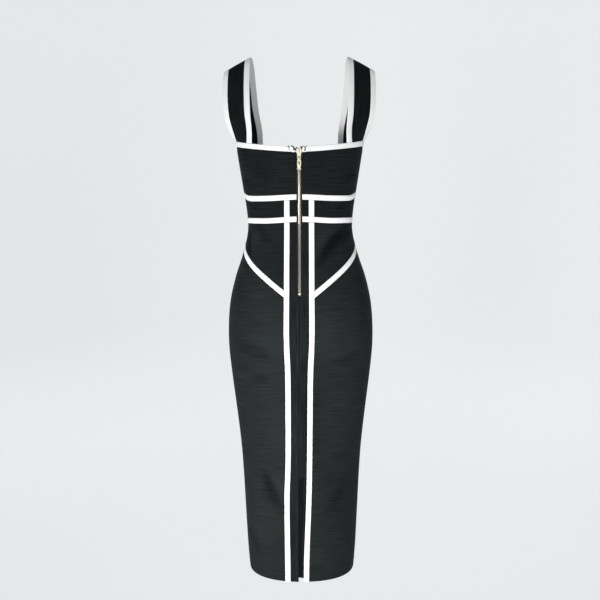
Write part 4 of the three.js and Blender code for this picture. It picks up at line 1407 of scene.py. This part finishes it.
class DRESS_OT_skirt(bpy.types.Operator):
    """Makes the yokes, the back skirts, the front skirt and the centre back strips with the vent"""

    bl_idname = "dress.skirt"
    bl_label = "Skirt"

    def execute(self, context):
        top = under(LOWER_BACK, GAP)
        for name, side in SIDES:
            edge = moved(centre_outer(name), GAP)
            yoke = cut(edge, back_side, moved(hip_top, GAP), top)
            skirt = cut(edge, back_side, hem_back, moved(hip_low, -GAP))
            panel(f"back_yoke_{name}", yoke, skin, 0.004, side)
            panel(f"back_skirt_{name}", skirt, skin, 0.006, side)
            self.strip(name, side, top)
        front = cut(front_right, front_left, hem_front, under(LOWER_FRONT, GAP))
        panel("front_skirt", front, front_skin, 0.006)
        return {"FINISHED"}

    def strip(self, name, side, top):
        """The strip beside the zip, which below the vent's top laps over or goes under."""
        tucked = name == "right"
        zip_turn = ZIP_END - GAP
        outer = moved(centre_inner(name), -GAP)

        def inner(z):
            seam = side * read(CENTRE_BACK, "seam", z)
            closed = lerp(seam + GAP / 2, ZIP_HALF + GAP, ramp(z, zip_turn - 0.0012, zip_turn))
            opened = ramp(VENT_TOP - z, VENT_RAMP, VENT_RAMP + VENT_FALL)
            return lerp(closed, seam - VENT_UNDERLAP, opened) if tucked else closed

        def lift(arc, z):
            near = side * arc - inner(z)
            below_zip = ramp(zip_turn - z, 0.004, 0.02)
            roll = 0.0011 * below_zip * np.exp(-(((near - 0.003) / 0.0015) ** 2))
            behind = ramp(outer(z) - side * arc, 0, 0.008) * ramp(VENT_TOP - z, 0, VENT_RAMP)
            return roll - (VENT_SET * behind if tucked else 0)

        pattern = cut(inner, outer, moved(hem_back, VENT_SHORT) if tucked else hem_back, top)
        panel(f"back_centre_strip_{name}", pattern, skin, 0.0025, side, "upright", lift)


class DRESS_OT_straps(bpy.types.Operator):
    """Makes both shoulder straps, their inner trims and the trims round the armholes"""

    bl_idname = "dress.straps"
    bl_label = "Straps"

    def execute(self, context):
        edge = ARMHOLE_TRIM / STRAP_WIDTH
        gap = GAP / STRAP_WIDTH
        length = 0.43
        alongs = shares_along(length, 0.0045)
        for name, side in SIDES:
            self.strap(f"strap_{name}", side, edge + gap, 1 - edge - gap, alongs, length)
            self.inner_trim(f"strap_inner_trim_{name}", side, edge, alongs, length)
            self.armhole_trim(f"armhole_trim_{name}", side, edge, alongs, length)
        return {"FINISHED"}

    def strap(self, node, side, start, end, alongs, length):
        """The ribbed middle of the strap."""
        width = (end - start) * STRAP_WIDTH
        us = shares_along(width, 0.004)
        u, v = np.meshgrid(us, alongs)
        full = round_edge(np.minimum(u, 1 - u) * width, np.minimum(v, 1 - v) * length)
        shares = lerp(start, end, us)
        outer = strap_points(shares, alongs, -CLOTH / 2 + CLOTH / 2 * full)
        inner = strap_points(shares, alongs, -CLOTH / 2 - CLOTH / 2 * full)
        uv = np.stack([v * length, u * width], axis=-1)
        if side < 0:
            uv = uv[:, ::-1]
        outer, inner = mirror_for(side, outer), mirror_for(side, inner)
        # Painted shade for the strap's knit, the darkest of all the parts
        closed = np.full(u.shape, PAINTED_SHADE_BY_PART["strap"])
        shell(f"{node}_cloth", outer, inner, uv, node, "knit", settings("knit").ease, painted_shade=closed)

    def inner_trim(self, node, side, edge, alongs, length):
        """The tape on the strap's neck edge."""

        def place(across, along, lift):
            across = across if side > 0 else 1 - across
            lift = np.broadcast_to(lift, across.shape)
            return strap_points(across[0] * edge, along[:, 0], lift) * np.array([side, 1, 1])

        tape_shell(node, place, alongs, length, ARMHOLE_TRIM, True)

    def armhole_trim(self, node, side, edge, alongs, length):
        """The loop of tape: along the strap's outer edge, then round under the arm."""
        turns = np.linspace(NECK_TURN, math.pi - NECK_TURN, 26)[::-1]
        rows = len(alongs)

        def place(across, along, lift):
            across = across if side > 0 else 1 - across
            lift = np.broadcast_to(lift, across.shape)
            over = strap_points(lerp(1 - edge, 1, across[0]), alongs, lift[:rows])
            arc, z = armhole_edge(turns[:, None], -ARMHOLE_TRIM * across[rows:])
            return np.concatenate([over, skin(arc, z, lift[rows:])]) * np.array([side, 1, 1])

        under_arm = ARMHOLE_HALF * 2.6
        whole = length + under_arm
        lower = length + np.linspace(0.02, 0.98, len(turns)) * under_arm
        shares = np.concatenate([alongs * length, lower])
        tape_shell(node, place, shares / whole, whole, ARMHOLE_TRIM, True, loop=True)


class DRESS_OT_trims(bpy.types.Operator):
    """Makes the neckline trims, the level trims, the centre back trims and the hip trims"""

    bl_idname = "dress.trims"
    bl_label = "Trims"

    def execute(self, context):
        self.neckline()
        low, high = moved(LOWER_BACK, GAP), under(WAIST_BACK, GAP)
        for name, side in SIDES:
            inner, outer = centre_inner(name), centre_outer(name)
            for node, top in (("back_waist_trim", WAIST_BACK), ("back_lower_trim", LOWER_BACK)):
                trim(f"{node}_{name}", cut(ZIP_EDGE, back_side, under(top), top), skin, side)
            trim(f"centre_trim_waist_{name}", cut(inner, outer, low, high), skin, side, True)
            whole = cut(inner, outer, hem_back, under(LOWER_BACK, GAP))
            trim(f"centre_trim_{name}", whole, skin, side, True)
            slanted = cut(moved(outer, GAP), back_side, hip_low, hip_top)
            trim(f"hip_trim_{name}", slanted, skin, side)
        for node, top in (("front_waist_trim", WAIST_FRONT), ("front_lower_trim", LOWER_FRONT)):
            trim(node, cut(front_right, front_left, under(top), top), front_skin)
        return {"FINISHED"}

    def neckline(self):
        """Front and back neckline trims, which end on the armhole trims."""
        top_end, low_end = armhole_edge(0, GAP)[0], armhole_edge(NECK_TURN, GAP)[0]

        def outer(z):
            return lerp(top_end, low_end, (neck_back(top_end) - z) / NECK_TRIM)

        for name, side in SIDES:
            band = cut(ZIP_EDGE, outer, moved(neck_back, -NECK_TRIM), neck_back)
            trim(f"back_neckline_trim_{name}", band, skin, side, width=NECK_TRIM)
        ends = []
        for turn in (0, NECK_TURN):
            arc, z = armhole_edge(math.pi - turn, GAP)
            ends.append(half_girth(z) - arc)

        def reach(z):
            share = (NECK_SIDE - np.clip(z, NECK_SIDE - NECK_TRIM, NECK_SIDE)) / NECK_TRIM
            return lerp(ends[0], ends[1], share)

        band = cut(lambda z: -reach(z), reach, moved(neck_front, -NECK_TRIM), neck_front)
        trim("front_neckline_trim", band, front_skin, width=NECK_TRIM)


class DRESS_OT_zip(bpy.types.Operator):
    """Makes the zip's tapes, its two rows of teeth and the bottom stop"""

    bl_idname = "dress.zip"
    bl_label = "Zip"

    def execute(self, context):
        self.tapes()
        for name, side in SIDES:
            self.teeth(f"zip_chain_{name}", side)
        self.stop()
        return {"FINISHED"}

    def split(self, z):
        """How far each half stands from the middle: apart over the slider, closed below it."""
        return SPLIT_BY * ramp(z, SPLIT_AT, ZIP_TOP) + GAP / 2

    def tapes(self):
        """Both woven tapes as one sheet, each with a thicker cord under its teeth."""
        pattern = cut(self.split, constant(ZIP_HALF), constant(ZIP_END), constant(ZIP_TOP))
        u, v = np.meshgrid(np.linspace(0, 1, 13), np.linspace(0, 1, 130))
        arc, z = pattern(u, v)
        cord = 0.0005 * np.exp(-(((u - 0.42) / 0.12) ** 2))
        lift = ZIP_TAPE - CLOTH + cord - 0.0003 * (1 - round_edge(u * ZIP_HALF, (1 - u) * ZIP_HALF))
        halves = []
        for side in (1, -1):
            outer = skin(side * arc, z, lift - 0.0003)[:, ::side]
            inner = skin(side * arc, z, np.full_like(arc, -CLOTH))[:, ::side]
            halves.append(closed_shell(outer, inner, np.stack([z, arc], axis=-1)[:, ::side]))
            width, length, area = flat_size(outer)
        points, faces, flat = (np.concatenate(part) for part in zip(*halves))
        faces[len(faces) // 2 :] += len(points) // 2
        nodes = [f"zip_tape_{name}" for name, side in SIDES]
        piece = add_piece(
            "zip_tapes_woven", points, faces.tolist(), flat, BODY, nodes,
            material_for("zip_tape"),
        )

    def teeth(self, node, side):
        """Teeth at an even pitch, each a rounded bar whose nib reaches just past the middle."""
        pitch = settings("zip").tooth_pitch
        start = ZIP_TOP + 0.0005 - (0 if side > 0 else pitch / 2)
        z = np.arange(start, ZIP_CHAIN_END + 0.0004, -pitch)
        split = self.split(z)
        near, far = split - 0.0006, split + CHAIN_HALF - GAP / 2
        arc = side * (near + far) / 2
        middle = (CHAIN_UNDER + CHAIN_OVER) / 2
        across = skin(side * far, z, middle) - skin(side * near, z, middle)
        out = skin(arc, z, CHAIN_OVER) - skin(arc, z, CHAIN_UNDER)
        tall = np.cross(out, across)
        tall *= (pitch * 0.52 / np.linalg.norm(tall, axis=1))[:, None]
        points, faces = repeated(*self.tooth(), skin(arc, z, middle), across, tall, out)
        piece = metal_piece(f"{node}_teeth", points, faces, node, finish="teeth")
        piece.data.set_sharp_from_angle(angle=math.radians(50))

    def tooth(self):
        """One tooth along the first axis, 1 long, wide and high, from rings of 8 points.

        The ring is a square with its corners cut. It is slim at the nib, swells to a head, and
        is widest where it grips the tape.
        """
        half = np.array([(1, 0.55), (0.55, 1), (-0.55, 1), (-1, 0.55)]) / 2
        along = (-0.5, -0.36, -0.05, 0.36, 0.5)
        wide = (0.50, 0.86, 0.80, 1.0, 0.86)
        high = (0.45, 0.80, 0.90, 1.0, 0.80)
        return rings_along(along, wide, high, np.concatenate([half, -half]))

    def stop(self):
        """The bottom stop: a rounded block clamped round both tapes."""
        half, low, high = 0.003, ZIP_STOP_END, ZIP_CHAIN_END - GAP
        outline = corners_cut([(-half, low), (half, low), (half, high), (-half, high)])
        middle = outline.mean(axis=0)
        top = CHAIN_OVER + 0.0005
        shares = np.array([0.9, 1.0, 1.0, 0.86, 0.5, 0.02])[:, None]
        lifts = np.array([CHAIN_UNDER, CHAIN_UNDER + 0.0004, 0.0018, 0.0024, top, top])[:, None]
        at = middle + (outline - middle) * shares[..., None]
        points, faces = ring_stack(skin(at[..., 0], at[..., 1], lifts))
        metal_piece("zip_stop_metal", points, faces, "zip_stop")


class DRESS_OT_slider(bpy.types.Operator):
    """Makes the zip's slider with its bail, the link and the slotted pull"""

    bl_idname = "dress.slider"
    bl_label = "Slider and pull"

    def execute(self, context):
        self.slider()
        self.link()
        self.pull()
        return {"FINISHED"}

    def slider(self):
        """Two shield plates joined by a wedge, the upper one notched, and the bail over it."""
        face_low, face_high = 0.0025, 0.0039
        back_high = -CLOTH - 0.0004
        shield = [
            (-0.0029, -0.008), (0.0029, -0.008), (0.0042, -0.0035), (0.0056, 0.0015),
            (0.0056, 0.0055), (0.0038, 0.0075), (-0.0038, 0.0075), (-0.0056, 0.0055),
            (-0.0056, 0.0015), (-0.0042, -0.0035),
        ]
        notched = shield[:6] + [(0.0026, 0.0075), (0.0, 0.0006), (-0.0026, 0.0075)] + shield[6:]
        wedge = [(0, 0.0046), (0.0011, 0.0075), (-0.0011, 0.0075)]
        arch = [
            (0.0036, -0.0079), (0.0068, -0.0082), (0.0078, -0.007), (0.0078, -0.0001),
            (0.0066, 0.0012), (0.0036, 0.0015),
        ]
        window = [
            (0.0041, 0.0002), (0.0057, -0.0001), (0.0065, -0.001), (0.0065, -0.0063),
            (0.0041, -0.0063),
        ]
        middle = np.array([0.0055, -0.0035])
        bail, opening = (by_turn(corners_cut(line), middle, 40) for line in (arch, window))
        parts = [
            plate(corners_cut(notched, 2), None, face_low, face_high),
            plate(corners_cut(shield, 2), None, back_high - 0.0014, back_high),
            plate(corners_cut(wedge, 2), None, back_high - 0.0002, face_low + 0.0002),
            plate(bail, opening, -0.0008, 0.0008, (2, 1, 0)),
        ]
        low, high = -0.002, 0.0058
        for near, far in ((-0.0056, -0.0048), (0.0048, 0.0056)):
            rail = np.array([(near, low), (far, low), (far, high), (near, high)])
            parts.append(plate(rail, None, 0.0012, face_low + 0.0002))
        hardware("zip_slider_metal", parts, "zip_slider", BODY, 0.0003)

    def link(self):
        """A flat ring that hangs from the bail."""
        high = LINK_PIVOT + LINK_BAR / 2
        outside = rounded_box(LINK_HALF, high - LINK_LENGTH, high, 0.002)
        inside = rounded_box(LINK_HALF - LINK_BAR, high - LINK_LENGTH + LINK_BAR, high - LINK_BAR, 0.0008)
        ring = plate(outside, inside, LINK_OUT - LINK_BAR / 2, LINK_OUT + LINK_BAR / 2)
        hardware("zip_link_metal", [ring], "zip_link", "zip_link", 0.0003)

    def pull(self):
        """An eye round the link's lower bar, a plate with a slot and a rounded foot."""
        blade = [
            (-0.0037, PULL_END + 0.002), (0.0037, PULL_END + 0.002),
            (0.0043, PULL_HINGE - 0.004), (0.0022, PULL_HINGE - 0.0016),
            (-0.0022, PULL_HINGE - 0.0016), (-0.0043, PULL_HINGE - 0.004),
        ]
        middle = np.array([0, PULL_HINGE - 0.0095])
        slot = rounded_box(0.001, PULL_HINGE - 0.0125, PULL_HINGE - 0.0065, 0.0006)
        face = by_turn(corners_cut(blade, 2), middle, 64)
        hole = by_turn(slot, middle, 64)
        eye = circle(0.0021, (LINK_OUT, PULL_HINGE))
        bore = circle(0.00116, (LINK_OUT, PULL_HINGE))
        foot = circle(0.0015, (LINK_OUT, PULL_END + 0.0015))
        parts = [
            plate(face, hole, LINK_OUT - 0.0008, LINK_OUT + 0.0008),
            plate(eye, bore, -0.0023, 0.0023, (2, 1, 0)),
            plate(foot, None, -0.0046, 0.0046, (2, 1, 0)),
        ]
        hardware("zip_pull_metal", parts, "zip_pull", "zip_pull", 0.00035)


class DRESS_OT_stitching(bpy.types.Operator):
    """Sews the rows on the trims and the hem, and finishes the top of the zip by hand"""

    bl_idname = "dress.stitching"
    bl_label = "Stitching"

    # Black stitches at the top of the zip and by the straps, each from one point to another
    HAND_STITCHES = table(
        "arc0 z0 arc1 z1 wide lift",
        (-0.0240, -0.1839, -0.0217, -0.1846, 0.0028, 0.0012),
        (-0.0211, -0.1850, -0.0214, -0.1880, 0.0012, 0.0010),
        (-0.0214, -0.1888, -0.0208, -0.1914, 0.0012, 0.0010),
        (-0.0112, -0.1880, -0.0106, -0.1922, 0.0030, 0.0022),
        (0.0112, -0.1842, 0.0128, -0.1862, 0.0021, 0.0022),
        (0.0129, -0.1867, 0.0133, -0.1896, 0.0022, 0.0022),
        (0.0133, -0.1901, 0.0118, -0.1936, 0.0023, 0.0022),
        (0.0156, -0.1836, 0.0168, -0.1842, 0.0024, 0.0014),
        (-0.1020, -0.1738, -0.0995, -0.1742, 0.0011, 0.0009),
        (0.0905, -0.1752, 0.0920, -0.1754, 0.0009, 0.0009),
        (0.0975, -0.1742, 0.0990, -0.1740, 0.0009, 0.0009),
    )
    HEM_LINE = 0.018
    # Each folded end beside the zip: its middle's arc and half its width, then what both share
    FLAPS = {"right": (0.0100, 0.0039), "left": (0.0127, 0.0048)}
    FLAP_Z = -0.1898
    FLAP_HALF_HEIGHT = 0.0066
    FLAP_RINGS = table(
        "share lift", (1.0, 0.0002), (1.0, 0.0008), (0.93, 0.0015), (0.8, 0.0018), (0.4, 0.0019),
        (0.02, 0.0019),
    )
    # Where the middle of each end of the zip's tape runs, from the teeth outwards
    TAPE_ENDS = {
        "right": table(
            "arc z", (0.0048, -0.1925), (0.0052, -0.1895), (0.0060, -0.1870), (0.0078, -0.1846),
            (0.0098, -0.1834),
        ),
        "left": table(
            "arc z", (0.0058, -0.1930), (0.0090, -0.1896), (0.0122, -0.1858), (0.0148, -0.1834),
            (0.0178, -0.1824),
        ),
    }

    def execute(self, context):
        pitch = settings("trim").stitch_pitch
        if not STITCH_LINES:
            raise RuntimeError("the trims come before their stitches")
        rows = [
            stitch_bars(line, over, pitch, pitch * 0.72, 0.0005, 0.0004, loop)
            for line, over, loop in STITCH_LINES
        ]
        half = len(rows) // 2
        joined_bars("trim_stitches_a", rows[:half], "white_thread")
        joined_bars("trim_stitches_b", rows[half:], "white_thread")
        self.hem()
        self.hand()
        for name, side in SIDES:
            self.flap(name, side)
            self.tape_end(name, side)
        return {"FINISHED"}

    def hem(self):
        """The row of black stitches that holds the hem's turned edge, front and back."""
        spans = []
        for name, side in SIDES:
            start, end = centre_outer(name)(HEM_CENTRE) + 0.001, back_side(HEM_CENTRE) - 0.001
            arcs = np.linspace(start, end, 40)
            spans.append((skin, side * arcs, hem_back(arcs)))
        arcs = np.linspace(front_right(HEM_CENTRE), front_left(HEM_CENTRE), 90)
        spans.append((front_skin, arcs, hem_front(arcs)))
        rows = []
        for onto, arcs, edge in spans:
            z = edge + self.HEM_LINE
            line, over = onto(arcs, z, 0.0001), onto(arcs, z, 0.001)
            rows.append(stitch_bars(line, over, 0.0034, 0.0024, 0.0006, 0.0005))
        joined_bars("hem_stitches", rows, "black_thread")

    def hand(self):
        """The black hand stitches, each one bar on the neckline trim."""
        t = self.HAND_STITCHES
        start = skin(t["arc0"], t["z0"], t["lift"])
        end = skin(t["arc1"], t["z1"], t["lift"])
        over = skin((t["arc0"] + t["arc1"]) / 2, (t["z0"] + t["z1"]) / 2, t["lift"] + 0.002)
        origins = (start + end) / 2
        ahead = (end - start) * 1.25
        up = over - origins
        up *= (0.0009 / np.linalg.norm(up, axis=1))[:, None]
        side = np.cross(up, ahead)
        side *= (t["wide"] / np.linalg.norm(side, axis=1))[:, None]
        joined_bars("hand_stitches", [(origins, ahead, side, up)], "black_thread")

    def flap(self, name, side):
        """A neckline trim's end folded over beside the zip: rings on the skin, rising inwards."""
        centre, half = self.FLAPS[name]
        turn = np.linspace(0, 2 * math.pi, 40, endpoint=False)
        square = (np.abs(np.cos(turn)) ** 3 + np.abs(np.sin(turn)) ** 3) ** (-1 / 3)
        size = self.FLAP_RINGS["share"][:, None] * square
        arc = side * (centre + half * size * np.cos(turn))
        z = self.FLAP_Z + self.FLAP_HALF_HEIGHT * size * np.sin(turn)
        points, faces = ring_stack(skin(arc, z, self.FLAP_RINGS["lift"][:, None]))
        if side < 0:
            faces = [face[::-1] for face in faces]
        flat = points[:, [2, 0]]
        add_piece(f"neck_flap_{name}", points, faces, flat, BODY, (), material_for("trim"))

    def tape_end(self, name, side):
        """The end of the zip's tape, a narrow band bent up and outwards over the flap."""
        path = self.TAPE_ENDS[name]
        t = np.linspace(0, 1, 21)
        knots = np.linspace(0, 1, len(path["arc"]))
        arc, z = (np.interp(t, knots, path[key]) for key in ("arc", "z"))
        away = np.stack([np.gradient(z), -np.gradient(arc)])
        away *= 0.0014 * np.interp(t, [0, 0.3, 1], [1, 1.1, 0.5]) / np.hypot(*away)
        across = np.linspace(-1, 1, 7)
        arcs = side * (arc[:, None] + away[0][:, None] * across)
        levels = z[:, None] + away[1][:, None] * across
        outer = skin(arcs, levels, 0.0019 + 0.0006 * np.sqrt(1 - (across * 0.95) ** 2))
        inner = skin(arcs, levels, 0.0012)
        if side < 0:
            outer, inner = outer[:, ::-1], inner[:, ::-1]
        points, faces, flat = closed_shell(outer, inner, outer[..., [2, 0]])
        finish = material_for("zip_tape")
        name = f"zip_tape_end_{name}"
        add_piece(name, points, faces.tolist(), flat, BODY, (), finish)


class DRESS_PT_panel(bpy.types.Panel):
    """Lists the steps that build the dress"""

    bl_idname = "DRESS_PT_panel"
    bl_label = "Dress"
    bl_space_type = "VIEW_3D"
    bl_region_type = "UI"
    bl_category = "Dress"

    def draw(self, context):
        for step in STEPS:
            self.layout.operator(step.bl_idname)
        for name, group in GROUPS.items():
            box = self.layout.box()
            for key in group.__annotations__:
                box.prop(settings(name), key)


STEPS = (
    DRESS_OT_stage,
    DRESS_OT_bodice,
    DRESS_OT_waist,
    DRESS_OT_skirt,
    DRESS_OT_straps,
    DRESS_OT_trims,
    DRESS_OT_zip,
    DRESS_OT_slider,
    DRESS_OT_stitching,
)
CLASSES = (*GROUPS.values(), *STEPS, DRESS_PT_panel)


def register():
    """Registers the classes and hangs each group of settings on the scene."""
    for cls in CLASSES:
        bpy.utils.register_class(cls)
    for name, group in GROUPS.items():
        setattr(bpy.types.Scene, f"dress_{name}", PointerProperty(type=group))


def unregister():
    """Takes the settings and the classes away again."""
    for name in GROUPS:
        delattr(bpy.types.Scene, f"dress_{name}")
    for cls in reversed(CLASSES):
        bpy.utils.unregister_class(cls)


def main():
    """Builds every piece in order."""
    register()
    for step in STEPS:
        area, name = step.bl_idname.split(".")
        getattr(getattr(bpy.ops, area), name)()


if __name__ == "__main__":
    main()
